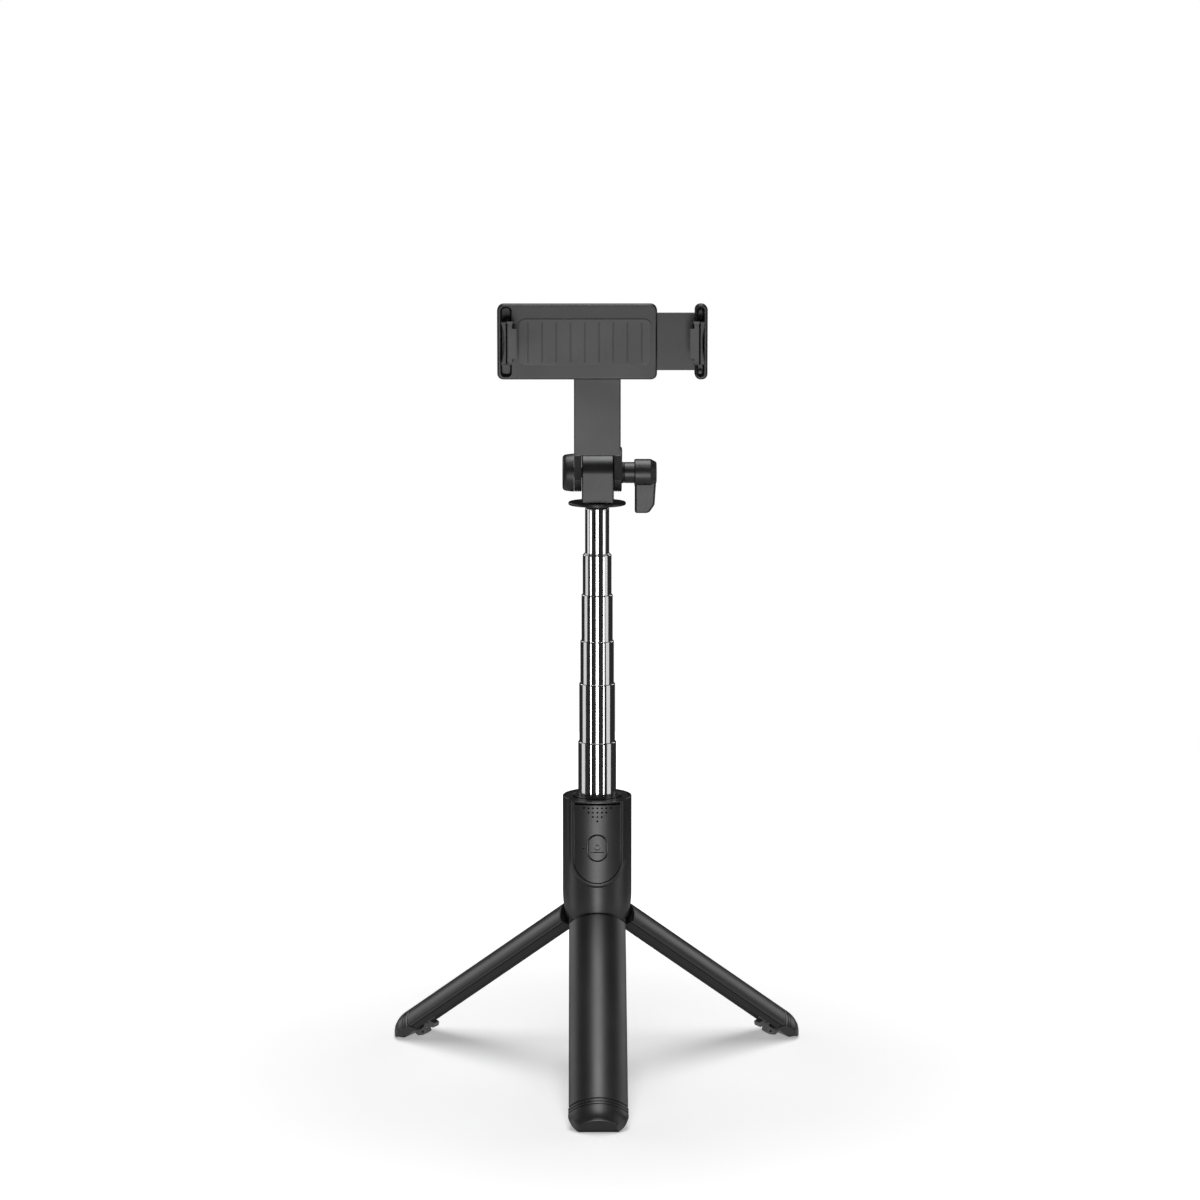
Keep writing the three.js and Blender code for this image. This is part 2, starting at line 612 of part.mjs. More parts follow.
function tiltYoke() {
  const low = TILT_Z + BRIDGE_LOW;
  const bridge = block(CHEEK_LEFT, CHEEK_RIGHT, ARM_FRONT_Y, -8.6, low, TILT_Z + BRIDGE_HIGH);
  const arm = new THREE.Shape();
  arm.moveTo(-ARM_HALF, low);
  arm.lineTo(ARM_HALF, low);
  arm.absarc(0, SWIVEL_Z, ARM_HALF, 0, Math.PI);
  const plate = fromFront(arm, ARM_FRONT_Y, ARM_BACK_Y, 10);
  const left = cheek(CHEEK_LEFT, POST_LEFT - GAP);
  const right = cheek(POST_RIGHT + GAP, CHEEK_RIGHT);
  const bore = rodX(BOLT_HOLE_R, CHEEK_LEFT - 1, CHEEK_RIGHT + 1, TILT_Z);
  const swivelHole = rodY(SWIVEL_R + GAP, ARM_FRONT_Y - 1, ARM_BACK_Y + 1, 0, SWIVEL_Z);
  const headRecess = rodY(SCREW_HEAD_R + GAP, ARM_BACK_Y - SCREW_RECESS, ARM_BACK_Y + 1, 0, SWIVEL_Z, 20);
  return cut(join(plate, bridge, left, right), bore, swivelHole, headRecess);
}

function nutCap() {
  const right = CHEEK_LEFT - GAP;
  const cup = turnedX([
    [0, NUT_CAP_LEFT],
    [6.2, NUT_CAP_LEFT],
    [6.9, NUT_CAP_LEFT + 0.5],
    [7.5, NUT_CAP_LEFT + 2.4],
    [POST_R, right],
    [4.6, right],
    [4.6, NUT_CAP_LEFT + 1],
    [0, NUT_CAP_LEFT + 1],
  ]);
  return cup.translate([0, 0, TILT_Z]);
}

function tiltNut() {
  const right = CHEEK_LEFT - 2 * GAP;
  const hexagon = rodX(NUT_CORNER_R, right - NUT_THICKNESS, right, TILT_Z, 6);
  return cut(hexagon, rodX(BOLT_R + GAP, right - 4, right + 1, TILT_Z));
}

const tiltBolt = () => rodX(BOLT_R, NUT_CAP_LEFT + 1.3, KNOB_RIGHT - 2.4, TILT_Z);

function knobWasher() {
  const left = CHEEK_RIGHT + GAP;
  return cut(rodX(WASHER_R, left, left + WASHER_THICKNESS, TILT_Z), rodX(BOLT_R + GAP, 5, 15, TILT_Z));
}

// The knob has one flat wing, which hangs down from its round boss.
function tiltKnob() {
  const neckStart = CHEEK_RIGHT + 2 * GAP + WASHER_THICKNESS;
  const neck = rodX(KNOB_NECK_R, neckStart, KNOB_LEFT + 1, 0, 20);
  const boss = turnedX([
    [0, KNOB_LEFT],
    [KNOB_R, KNOB_LEFT],
    [KNOB_R, KNOB_RIGHT - 2],
    [KNOB_R - 1.2, KNOB_RIGHT],
    [0, KNOB_RIGHT],
  ]);
  const wing = new THREE.Shape();
  wing.moveTo(KNOB_LEFT + 0.2, 0);
  wing.lineTo(KNOB_LEFT + 0.2, -KNOB_REACH);
  wing.lineTo(KNOB_RIGHT - 3.4, -KNOB_REACH);
  wing.quadraticCurveTo(KNOB_RIGHT - 1, -KNOB_REACH, KNOB_RIGHT - 0.4, -KNOB_REACH + 3.6);
  wing.lineTo(KNOB_RIGHT, 0);
  const paddle = fromFront(wing, -WING_HALF, WING_HALF, 5);
  const bore = rodX(BOLT_R + GAP, neckStart - 1, KNOB_RIGHT - 2);
  return cut(join(neck, boss, paddle), bore).translate([0, 0, TILT_Z]);
}

// ---- phone clamp --------------------------------------------------------------------------------

function swivelScrew() {
  const underside = ARM_BACK_Y - SCREW_RECESS + GAP;
  const head = rodY(SCREW_HEAD_R, underside, ARM_BACK_Y - 0.1, 0, SWIVEL_Z, 20);
  const shank = rodY(SWIVEL_R, REAR_FRONT_Y + 0.5, underside + 0.5, 0, SWIVEL_Z);
  const driveSlot = block(-2.6, 2.6, ARM_BACK_Y - 0.7, ARM_BACK_Y + 1, SWIVEL_Z - 0.5, SWIVEL_Z + 0.5);
  return cut(join(head, shank), driveSlot);
}

function swivelWasher() {
  const washer = rodY(SWIVEL_WASHER_R, ARM_FRONT_Y - GAP - 0.4, ARM_FRONT_Y - GAP, 0, SWIVEL_Z, 24);
  return cut(washer, rodY(SWIVEL_R + GAP, -20, -16, 0, SWIVEL_Z));
}

const clampOutline = (x0, x1) =>
  roundedRectangle(x0, x1, SWIVEL_Z - CLAMP_HALF, SWIVEL_Z + CLAMP_HALF, CORNER_R);

const endRecess = (x0, x1) =>
  block(x0, x1, COVER_FRONT_Y - 1, RECESS_FLOOR_Y, SWIVEL_Z - RECESS_HALF, SWIVEL_Z + RECESS_HALF);

// A jaw's upright: it stands in a recess behind its pad, and its outer face is slightly hollow.
function jawUpright(inner, side) {
  const x = (depth) => inner + side * (PAD_THICKNESS + GAP + depth);
  const shape = new THREE.Shape();
  shape.moveTo(x(0), SWIVEL_Z - PAD_HALF);
  shape.lineTo(x(2), SWIVEL_Z - PAD_HALF);
  shape.quadraticCurveTo(x(0.4), SWIVEL_Z, x(2), SWIVEL_Z + PAD_HALF);
  shape.lineTo(x(0), SWIVEL_Z + PAD_HALF);
  return fromFront(shape, JAW_FRONT_Y, RECESS_FLOOR_Y + 0.5, 4);
}

function clampRear() {
  const plate = fromFront(clampOutline(JAW_LEFT_OUTER, BODY_RIGHT), REAR_FRONT_Y, CLAMP_BACK_Y, 4);
  const post = rodY(POST_PIN_R, COVER_BACK_Y + 0.4, REAR_FRONT_Y + 1, POST_X, SWIVEL_Z, 12);
  const posts = [-1, 1].map((side) => post.translate([0, 0, side * SPRING_Z]));
  const screwHole = rodY(SWIVEL_R + GAP, REAR_FRONT_Y - 1, CLAMP_BACK_Y + 1, 0, SWIVEL_Z);
  return cut(join(plate, ...posts), screwHole);
}

// The cover holds the slider's channel, and carries the fixed jaw at its left end.
function clampCover() {
  const whole = fromFront(clampOutline(JAW_LEFT_OUTER, BODY_RIGHT), COVER_FRONT_Y, REAR_FRONT_Y - GAP, 4);
  const [low, high] = [SWIVEL_Z - CHANNEL_HALF, SWIVEL_Z + CHANNEL_HALF];
  const channel = block(CHANNEL_LEFT, BODY_RIGHT + 1, COVER_BACK_Y, CLAMP_BACK_Y, low, high);
  const recess = endRecess(JAW_LEFT_OUTER + 1.3, JAW_LEFT_INNER - 0.6);
  return join(cut(whole, channel, recess), jawUpright(JAW_LEFT_INNER, -1));
}

function backPad() {
  const [left, right, half, corner] = BACK_PAD;
  const outline = roundedRectangle(left, right, SWIVEL_Z - half, SWIVEL_Z + half, corner);
  return fromFront(outline, PHONE_BACK_Y, COVER_FRONT_Y - GAP, 4);
}

// A soft pad that lines a jaw and hooks a little way over the phone's front edge.
function jawPad(inner, side) {
  const outer = inner + side * PAD_THICKNESS;
  const hook = inner - side * LIP_HOOK;
  const outline = [
    [outer, PHONE_BACK_Y - GAP],
    [inner, PHONE_BACK_Y - GAP],
    [inner, PHONE_FRONT_Y - GAP],
    [hook, PHONE_FRONT_Y - GAP],
    [hook, LIP_FRONT_Y + 0.5],
    [hook + side * 0.5, LIP_FRONT_Y],
    [outer, LIP_FRONT_Y],
  ];
  const shape = polygon(side < 0 ? outline : outline.reverse());
  return raised(shape, SWIVEL_Z - PAD_HALF, SWIVEL_Z + PAD_HALF);
}

function movingJaw() {
  const back = REAR_FRONT_Y - GAP;
  const front = COVER_BACK_Y + GAP;
  const start = JAW_RIGHT_INNER + 0.2;
  const wide = block(SLIDER_SHOULDER, start + 1, front, back, SWIVEL_Z - SLIDER_HALF, SWIVEL_Z + SLIDER_HALF);
  const low = SWIVEL_Z - TONGUE_HALF;
  const tongue = block(SLIDER_END, SLIDER_SHOULDER + 1, front, back, low, SWIVEL_Z + TONGUE_HALF);
  const end = fromFront(clampOutline(start, JAW_RIGHT_OUTER), COVER_FRONT_Y, CLAMP_BACK_Y, 4);
  const recess = endRecess(start + 0.8, JAW_RIGHT_OUTER - 1.3);
  const boss = rodY(JAW_BOSS_R, COVER_FRONT_Y + 1, RECESS_FLOOR_Y + 0.5, JAW_BOSS_X, SWIVEL_Z, 10);
  const bosses = JAW_BOSS_HEIGHTS.map((height) => boss.translate([0, 0, height]));
  return join(cut(end, recess), wide, tongue, jawUpright(JAW_RIGHT_INNER, 1), ...bosses);
}

class Helix extends THREE.Curve {
  getPoint(t, target = new THREE.Vector3()) {
    const angle = t * SPRING_TURNS * Math.PI * 2;
    const x = THREE.MathUtils.lerp(SPRING_START, SLIDER_SHOULDER - GAP - SPRING_WIRE, t);
    return target.set(x, SPRING_R * Math.cos(angle), SPRING_R * Math.sin(angle));
  }
}

function jawSpring(side) {
  const wire = new THREE.Shape().absarc(0, 0, SPRING_WIRE, 0, Math.PI * 2);
  const options = { steps: SPRING_TURNS * 6, extrudePath: new Helix(), curveSegments: 2 };
  const coil = new THREE.ExtrudeGeometry(wire, options);
  return solid(coil.translate(0, (REAR_FRONT_Y + COVER_BACK_Y) / 2, SWIVEL_Z + side * SPRING_Z));
}

// ---- remote -------------------------------------------------------------------------------------

function remoteFront() {
  const top = POCKET_TOP - GAP;
  const body = fromFront(pocketOutline(REMOTE_HALF, top), -17, REMOTE_BACK_Y).intersect(behindFace());
  const inside = pocketOutline(REMOTE_HALF - REMOTE_WALL, top - REMOTE_WALL);
  const hollow = fromFront(inside, -17, REMOTE_BACK_Y + 1).intersect(behindFace(-REMOTE_SKIN));
  return cut(body, hollow, capsule(BUTTON_HALF + GAP, -17, -11));
}

function capsule(half, y0, y1) {
  const shape = new THREE.Shape();
  shape.absarc(0, BUTTON_Z + BUTTON_STRAIGHT / 2, half, 0, Math.PI);
  shape.absarc(0, BUTTON_Z - BUTTON_STRAIGHT / 2, half, Math.PI, Math.PI * 2);
  return fromFront(shape, y0, y1, 6);
}

function remoteBack() {
  const inset = REMOTE_WALL + GAP;
  const outline = pocketOutline(REMOTE_HALF - inset, POCKET_TOP - GAP - inset);
  return fromFront(outline, REMOTE_BACK_Y - 0.5, REMOTE_BACK_Y);
}

// The button stands a little proud of the face, and its flange keeps it in.
function remoteButton() {
  const back = BOARD_FRONT_Y - 0.8;
  const cap = capsule(BUTTON_HALF, -17, back).intersect(behindFace(0.2));
  const flange = capsule(BUTTON_HALF + 0.6, -17, back).intersect(behindFace(-REMOTE_SKIN - GAP));
  return join(cap, flange);
}

// The circuit board, with the click dome that the button presses.
function remoteBoard() {
  const board = block(-BOARD_HALF, BOARD_HALF, BOARD_FRONT_Y, BOARD_FRONT_Y + 0.6, BOARD_LOW, BOARD_HIGH);
  return join(board, rodY(2, BOARD_FRONT_Y - 0.3, BOARD_FRONT_Y + 0.1, 0, BUTTON_Z));
}

function remoteCell() {
  const back = REMOTE_BACK_Y - 0.75;
  return rodY(CELL_R, back - CELL_THICKNESS, back, 0, CELL_Z, 24);
}

// ---- assembly -----------------------------------------------------------------------------------

const stick = new THREE.Group();
stick.position.y = POLE_Y;

function place(name, manifold, material, parent = stick) {
  const mesh = new THREE.Mesh(geometryOf(manifold), material());
  mesh.name = name;
  parent.add(mesh);
}

place("hub_housing", hubHousing(), blackPlastic);
place("hub_top_cap", hubTopCap(), darkPlastic);
place("guide_sleeve", guideSleeve(), darkPlastic);
place("leg_bracket", legBracket(), darkPlastic);

LEG_NAMES.forEach((name, i) => {
  const around = new THREE.Group();
  around.rotation.z = THREE.MathUtils.degToRad(legTurns[i]);
  stick.add(around);
  place(`hinge_pin_${name}`, hingePin(), steel, around);
  const leg = new THREE.Group();
  leg.position.set(0, -PIVOT_R, PIVOT_Z);
  leg.rotation.x = -SPLAY;
  around.add(leg);
  place(`leg_shell_${name}`, legShell(), blackPlastic, leg);
  place(`leg_liner_${name}`, legLiner(), darkPlastic, leg);
  place(`leg_foot_${name}`, legFoot(), rubber, leg);
  place(`leg_clip_${name}`, legClip(), greyPlastic, leg);
});

place("tube_1", topTube(), steel);
for (let number = 2; number <= TUBE_COUNT; number += 1) place(`tube_${number}`, tube(number), steel);
for (let number = 1; number <= TUBE_COUNT; number += 1) place(`tube_bush_${number}`, tubeBush(number), nylon);

place("tube_collar", tubeCollar(), darkPlastic);
place("head_disc", headDisc(), blackPlastic);
place("head_post", headPost(), blackPlastic);
place("friction_washer_left", frictionWasher(POST_LEFT), nylon);
place("friction_washer_right", frictionWasher(POST_RIGHT - WASHER_THICKNESS), nylon);
place("tilt_yoke", tiltYoke(), blackPlastic);
place("nut_cap", nutCap(), blackPlastic);
place("tilt_nut", tiltNut(), zinc);
place("tilt_bolt", tiltBolt(), zinc);
place("knob_washer", knobWasher(), darkPlastic);
place("tilt_knob", tiltKnob(), blackPlastic);

place("swivel_screw", swivelScrew(), zinc);
place("swivel_washer", swivelWasher(), nylon);
place("clamp_rear", clampRear(), blackPlastic);
place("clamp_cover", clampCover(), blackPlastic);
place("clamp_back_pad", backPad(), greyRubber);
place("fixed_jaw_pad", jawPad(JAW_LEFT_INNER, -1), greyRubber);
place("moving_jaw", movingJaw(), blackPlastic);
place("moving_jaw_pad", jawPad(JAW_RIGHT_INNER, 1), greyRubber);
place("jaw_spring_upper", jawSpring(1), steel);
place("jaw_spring_lower", jawSpring(-1), steel);

place("remote_front", remoteFront(), blackPlastic);
place("remote_back", remoteBack(), darkPlastic);
place("remote_button", remoteButton(), blackPlastic);
place("remote_board", remoteBoard(), circuit);
place("remote_cell", remoteCell(), zinc);

const selfieStick = new THREE.Group();
selfieStick.add(stick);

export default selfieStick;
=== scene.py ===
import json
import math

import bmesh
import bpy
from mathutils import Matrix, Vector

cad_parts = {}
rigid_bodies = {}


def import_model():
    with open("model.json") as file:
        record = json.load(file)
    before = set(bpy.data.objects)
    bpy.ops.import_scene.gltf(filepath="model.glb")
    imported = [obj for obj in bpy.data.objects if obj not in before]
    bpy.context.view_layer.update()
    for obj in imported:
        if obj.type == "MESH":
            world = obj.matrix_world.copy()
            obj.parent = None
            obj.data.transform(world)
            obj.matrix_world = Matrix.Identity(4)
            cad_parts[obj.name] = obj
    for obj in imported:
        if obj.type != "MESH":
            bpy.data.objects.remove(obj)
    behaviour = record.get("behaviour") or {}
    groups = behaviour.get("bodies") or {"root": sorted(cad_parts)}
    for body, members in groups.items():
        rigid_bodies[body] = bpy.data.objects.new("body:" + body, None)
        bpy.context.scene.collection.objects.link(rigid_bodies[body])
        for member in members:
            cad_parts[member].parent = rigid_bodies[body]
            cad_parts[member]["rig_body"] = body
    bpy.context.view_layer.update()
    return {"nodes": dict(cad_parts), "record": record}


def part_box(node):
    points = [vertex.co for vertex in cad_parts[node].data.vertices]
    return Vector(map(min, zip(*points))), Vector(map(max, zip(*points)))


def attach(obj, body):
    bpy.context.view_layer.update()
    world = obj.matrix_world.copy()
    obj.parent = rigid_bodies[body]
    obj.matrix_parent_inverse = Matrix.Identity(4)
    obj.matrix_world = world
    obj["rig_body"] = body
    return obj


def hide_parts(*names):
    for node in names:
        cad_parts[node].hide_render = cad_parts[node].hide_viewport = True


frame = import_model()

scene = bpy.context.scene

# Shapes are drawn in millimetres about the pole's axis: +Z up, the front towards -Y and the ground at
# z = 0, as in the frame. Sizes come from the frame's boxes, or are named here.

MM = 0.001


def middle(node):
    low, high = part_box(node)
    return (low + high) / 2


POLE = Vector((middle("hub_top_cap").x, middle("head_disc").y, 0))


def span(node):
    """A node's lowest and highest corner, in millimetres about the pole's axis."""
    return [(corner - POLE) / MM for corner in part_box(node)]


# ---- camera, light and floor --------------------------------------------------------------------

LENS = 100
SENSOR = 36
CAMERA_DISTANCE = 1.353
CAMERA_PITCH = math.radians(8.3)
CAMERA_TURN = math.radians(-0.35)
AIM = POLE + Vector((0.00116, 0, 0.194))
ROOM_LIGHT = 0.03
CARD_SIZE = 0.5
CARD_LIGHT = 0.3
CARD_LIFT = 0.0005
FLOOR_R = 0.75
FLOOR_GLOW = (0.36, 0.85)
FLOOR_FADE = (0.08, 0.4)
FLOOR_DROP = 0.0001


def make_camera():
    data = bpy.data.cameras.new("camera")
    data.lens = LENS
    data.sensor_width = SENSOR
    data.clip_start = 0.05
    camera = bpy.data.objects.new("camera", data)
    camera.rotation_euler = (math.pi / 2 - CAMERA_PITCH, 0, CAMERA_TURN)
    camera.location = AIM + camera.rotation_euler.to_matrix() @ Vector((0, 0, CAMERA_DISTANCE))
    scene.collection.objects.link(camera)
    scene.camera = camera


def make_world():
    """A white backdrop to the eye, and a dim room in what the surfaces reflect."""
    world = bpy.data.worlds.new("studio")
    world.use_nodes = True
    nodes, links = world.node_tree.nodes, world.node_tree.links
    nodes.clear()
    backdrop = nodes.new("ShaderNodeBackground")
    backdrop.inputs["Color"].default_value = (1, 1, 1, 1)
    room = nodes.new("ShaderNodeBackground")
    room.inputs["Color"].default_value = (0.97, 0.98, 1, 1)
    room.inputs["Strength"].default_value = ROOM_LIGHT
    ray = nodes.new("ShaderNodeLightPath")
    mix = nodes.new("ShaderNodeMixShader")
    output = nodes.new("ShaderNodeOutputWorld")
    links.new(ray.outputs["Is Camera Ray"], mix.inputs["Fac"])
    links.new(room.outputs[0], mix.inputs[1])
    links.new(backdrop.outputs[0], mix.inputs[2])
    links.new(mix.outputs[0], output.inputs["Surface"])
    scene.world = world


def softbox(name, azimuth, height, distance, size, radiance, aim=0.15):
    """A rectangular light panel. Azimuth 0 is in front, 90 to the right; it faces the object."""
    data = bpy.data.lights.new(name, "AREA")
    data.shape = "RECTANGLE"
    data.size, data.size_y = size
    data.energy = radiance * size[0] * size[1] * math.pi
    panel = bpy.data.objects.new(name, data)
    turn = math.radians(azimuth)
    centre = POLE + Vector((0, 0, aim))
    panel.location = POLE + Vector((distance * math.sin(turn), -distance * math.cos(turn), height))
    panel.rotation_euler = (centre - panel.location).to_track_quat("-Z", "Y").to_euler()
    scene.collection.objects.link(panel)


def bounce_card():
    """The light that the floor under the object throws back up, close to the legs only."""
    data = bpy.data.lights.new("bounce_card", "AREA")
    data.size = CARD_SIZE
    data.energy = CARD_LIGHT * CARD_SIZE**2 * math.pi
    card = bpy.data.objects.new("bounce_card", data)
    card.location = POLE + Vector((0, 0, CARD_LIFT))
    card.rotation_euler = (math.pi, 0, 0)
    card.visible_camera = False
    scene.collection.objects.link(card)


def make_lights():
    softbox("front_strip", 0, -0.48, 2.0, (0.62, 1.14), 6.2, aim=-0.48)
    softbox("left_panel", -93, 0.2, 1.8, (0.9, 1.8), 0.85)
    softbox("right_panel", 76, 0.2, 1.8, (0.9, 1.8), 0.85)
    softbox("top_panel", 0, 2.0, 0.05, (0.7, 2.4), 5.0)
    softbox("back_left_panel", -130, 0.75, 1.8, (0.8, 0.8), 1.6)
    softbox("back_right_panel", 130, 0.75, 1.8, (0.8, 0.8), 1.6)
    bounce_card()


def make_floor():
    """A round pale floor that fades into the white backdrop towards its rim."""
    mesh = bpy.data.meshes.new("floor")
    shape = bmesh.new()
    bmesh.ops.create_circle(shape, cap_ends=True, segments=96, radius=FLOOR_R)
    shape.to_mesh(mesh)
    shape.free()
    floor = bpy.data.objects.new("floor", mesh)
    floor.location = POLE - Vector((0, 0, FLOOR_DROP))
    scene.collection.objects.link(floor)
    material = bpy.data.materials.new("pale_floor")
    material.use_nodes = True
    nodes, links = material.node_tree.nodes, material.node_tree.links
    shader = nodes["Principled BSDF"]
    shader.inputs["Base Color"].default_value = (0.9, 0.9, 0.9, 1)
    shader.inputs["Roughness"].default_value = 0.7
    shader.inputs["Specular IOR Level"].default_value = 0.1
    place = nodes.new("ShaderNodeTexCoord")
    length = nodes.new("ShaderNodeVectorMath")
    length.operation = "LENGTH"
    fade = nodes.new("ShaderNodeMapRange")
    fade.interpolation_type = "SMOOTHSTEP"
    for name, value in zip(("From Min", "From Max", "To Min", "To Max"), FLOOR_FADE + FLOOR_GLOW):
        fade.inputs[name].default_value = value
    shader.inputs["Emission Color"].default_value = (1, 1, 1, 1)
    links.new(place.outputs["Object"], length.inputs[0])
    links.new(length.outputs["Value"], fade.inputs["Value"])
    links.new(fade.outputs["Result"], shader.inputs["Emission Strength"])
    mesh.materials.append(material)
    floor.visible_glossy = False
    floor.visible_shadow = False


make_camera()
make_world()
make_lights()
make_floor()
scene.view_settings.view_transform = "Standard"

# ---- materials ----------------------------------------------------------------------------------


def shader_of(name, color, roughness, metallic=0.0, specular=0.5, coat=0.0):
    """A new material, its shader, and a function that adds a node with its settings."""
    material = bpy.data.materials.new(name)
    material.use_nodes = True
    shader = material.node_tree.nodes["Principled BSDF"]
    shader.inputs["Base Color"].default_value = (*color, 1)
    shader.inputs["Roughness"].default_value = roughness
    shader.inputs["Metallic"].default_value = metallic
    shader.inputs["Specular IOR Level"].default_value = specular
    shader.inputs["Coat Weight"].default_value = coat

    def add(kind, **settings):
        node = material.node_tree.nodes.new(kind)
        for key, value in settings.items():
            if hasattr(node, key):
                setattr(node, key, value)
            else:
                node.inputs[key.replace("_", " ")].default_value = value
        return node

    return material, shader, add


def noise(add, join, scale, detail=2.0, stretch=(1, 1, 1)):
    """Noise in the object's own space, and its value as an output socket."""
    place = add("ShaderNodeTexCoord")
    mapping = add("ShaderNodeMapping", Scale=stretch)
    texture = add("ShaderNodeTexNoise", Scale=scale, Detail=detail)
    join(place.outputs["Object"], mapping.inputs["Vector"])
    join(mapping.outputs["Vector"], texture.inputs["Vector"])
    return texture.outputs["Fac"]


def ranged(add, join, value, low, high, source=(0.3, 0.7)):
    """A value stretched from one range to another."""
    node = add("ShaderNodeMapRange", From_Min=source[0], From_Max=source[1], To_Min=low, To_Max=high)
    join(value, node.inputs["Value"])
    return node.outputs["Result"]


def blended(add, join, share, first, second):
    """A colour that goes from the first to the second as share goes from 0 to 1."""
    node = add("ShaderNodeMix", data_type="RGBA")
    join(share, node.inputs["Factor"])
    for socket, color in ((node.inputs[6], first), (node.inputs[7], second)):
        if isinstance(color, tuple):
            socket.default_value = (*color, 1)
        else:
            join(color, socket)
    return node.outputs[2]


def worn_edges(add, join, radius):
    """1 along sharp edges and 0 on open faces, broken up as handling breaks it up."""
    edge = add("ShaderNodeBevel", samples=4, Radius=radius)
    face = add("ShaderNodeNewGeometry")
    dot = add("ShaderNodeVectorMath", operation="DOT_PRODUCT")
    join(edge.outputs["Normal"], dot.inputs[0])
    join(face.outputs["Normal"], dot.inputs[1])
    mask = ranged(add, join, dot.outputs["Value"], 1, 0, (0.86, 0.995))
    patchy = ranged(add, join, noise(add, join, 90, 4), 0.25, 1)
    product = add("ShaderNodeMath", operation="MULTIPLY", use_clamp=True)
    join(mask, product.inputs[0])
    join(patchy, product.inputs[1])
    return product.outputs["Value"]


def relief(add, join, shader, *layers):
    """Bumps the surface with layers of (value, depth in metres)."""
    normal = None
    for value, depth in layers:
        bump = add("ShaderNodeBump", Strength=1.0, Distance=depth)
        join(value, bump.inputs["Height"])
        if normal is not None:
            join(normal, bump.inputs["Normal"])
        normal = bump.outputs["Normal"]
    join(normal, shader.inputs["Normal"])


def moulded(name, color, roughness, grain=9000, depth=3e-6, wear=0.5, specular=0.5):
    """Moulded plastic or rubber: spark-eroded grain, faint flow marks and edges rubbed lighter."""
    material, shader, add = shader_of(name, color, roughness, specular=specular)
    join = material.node_tree.links.new
    flow = ranged(add, join, noise(add, join, 45, 3), 0, 1)
    body = blended(add, join, flow, tuple(c * 0.88 for c in color), tuple(c * 1.12 for c in color))
    rubbed = worn_edges(add, join, 0.00025)
    pale = tuple(c + (0.12 - c) * wear * 0.5 for c in color)
    join(blended(add, join, rubbed, body, pale), shader.inputs["Base Color"])
    speck = noise(add, join, grain, 2)
    mottled = ranged(add, join, flow, roughness - 0.03, roughness + 0.03, (0, 1))
    polished = add("ShaderNodeMath", operation="MULTIPLY_ADD")
    polished.inputs[1].default_value = -0.1 * wear
    join(rubbed, polished.inputs[0])
    join(mottled, polished.inputs[2])
    join(polished.outputs["Value"], shader.inputs["Roughness"])
    relief(add, join, shader, (noise(add, join, 220, 2), depth * 2), (speck, depth))
    return material


def drawn_steel(name, color, roughness):
    """Tube polished and drawn along its length: hair lines, and smudges in the shine."""
    material, shader, add = shader_of(name, color, roughness, metallic=1.0)
    join = material.node_tree.links.new
    hairs = noise(add, join, 5200, 3, (1, 1, 0.003))
    smudge = noise(add, join, 70, 4, (1, 1, 0.5))
    join(blended(add, join, smudge, tuple(c * 0.94 for c in color), color), shader.inputs["Base Color"])
    total = add("ShaderNodeMath", operation="ADD")
    join(ranged(add, join, hairs, -0.025, 0.025), total.inputs[0])
    join(ranged(add, join, smudge, roughness - 0.02, roughness + 0.03), total.inputs[1])
    join(total.outputs["Value"], shader.inputs["Roughness"])
    relief(add, join, shader, (hairs, 1.2e-7))
    return material


def plated(name, color, roughness):
    """Zinc plate: crystalline mottling and fine turning marks."""
    material, shader, add = shader_of(name, color, roughness, metallic=1.0)
    join = material.node_tree.links.new
    place = add("ShaderNodeTexCoord")
    crystal = add("ShaderNodeTexVoronoi", Scale=2600.0)
    join(place.outputs["Object"], crystal.inputs["Vector"])
    share = ranged(add, join, crystal.outputs["Distance"], 0, 1, (0, 0.8))
    join(blended(add, join, share, color, tuple(c * 0.8 for c in color)), shader.inputs["Base Color"])
    join(ranged(add, join, share, roughness - 0.05, roughness + 0.08, (0, 1)), shader.inputs["Roughness"])
    relief(add, join, shader, (noise(add, join, 6000, 2), 1.5e-6))
    return material


def circuit_board(name, color):
    """Solder mask with copper tracks under it."""
    material, shader, add = shader_of(name, color, 0.35, coat=0.3)
    join = material.node_tree.links.new
    place = add("ShaderNodeTexCoord")
    tracks = add("ShaderNodeTexBrick", Scale=420.0)
    join(place.outputs["Object"], tracks.inputs["Vector"])
    join(
        blended(add, join, tracks.outputs["Fac"], color, tuple(c * 1.8 for c in color)),
        shader.inputs["Base Color"],
    )
    join(ranged(add, join, noise(add, join, 900, 2), 0.3, 0.42), shader.inputs["Roughness"])
    relief(add, join, shader, (tracks.outputs["Fac"], 1e-5))
    return material


MATERIALS = {
    "satin_black": moulded("satin_black", (0.011, 0.011, 0.0117), 0.37, 9000, 1.6e-6, 0.5, 0.75),
    "matt_black": moulded("matt_black", (0.007, 0.007, 0.0075), 0.5, 7000, 4e-6, 0.4),
    "grey_plastic": moulded("grey_plastic", (0.085, 0.085, 0.087), 0.42, 8000, 3e-6, 0.5),
    "black_rubber": moulded("black_rubber", (0.010, 0.010, 0.0105), 0.36, 5200, 3e-6, 0.25, 0.7),
    "grey_rubber": moulded("grey_rubber", (0.11, 0.11, 0.112), 0.62, 4800, 8e-6, 0.2, 0.3),
    "polished_steel": drawn_steel("polished_steel", (0.72, 0.72, 0.73), 0.09),
    "plated_steel": plated("plated_steel", (0.5, 0.5, 0.51), 0.3),
    "nylon": moulded("nylon", (0.7, 0.7, 0.67), 0.45, 7000, 3e-6, 0.2),
    "board_green": circuit_board("board_green", (0.012, 0.09, 0.04)),
}

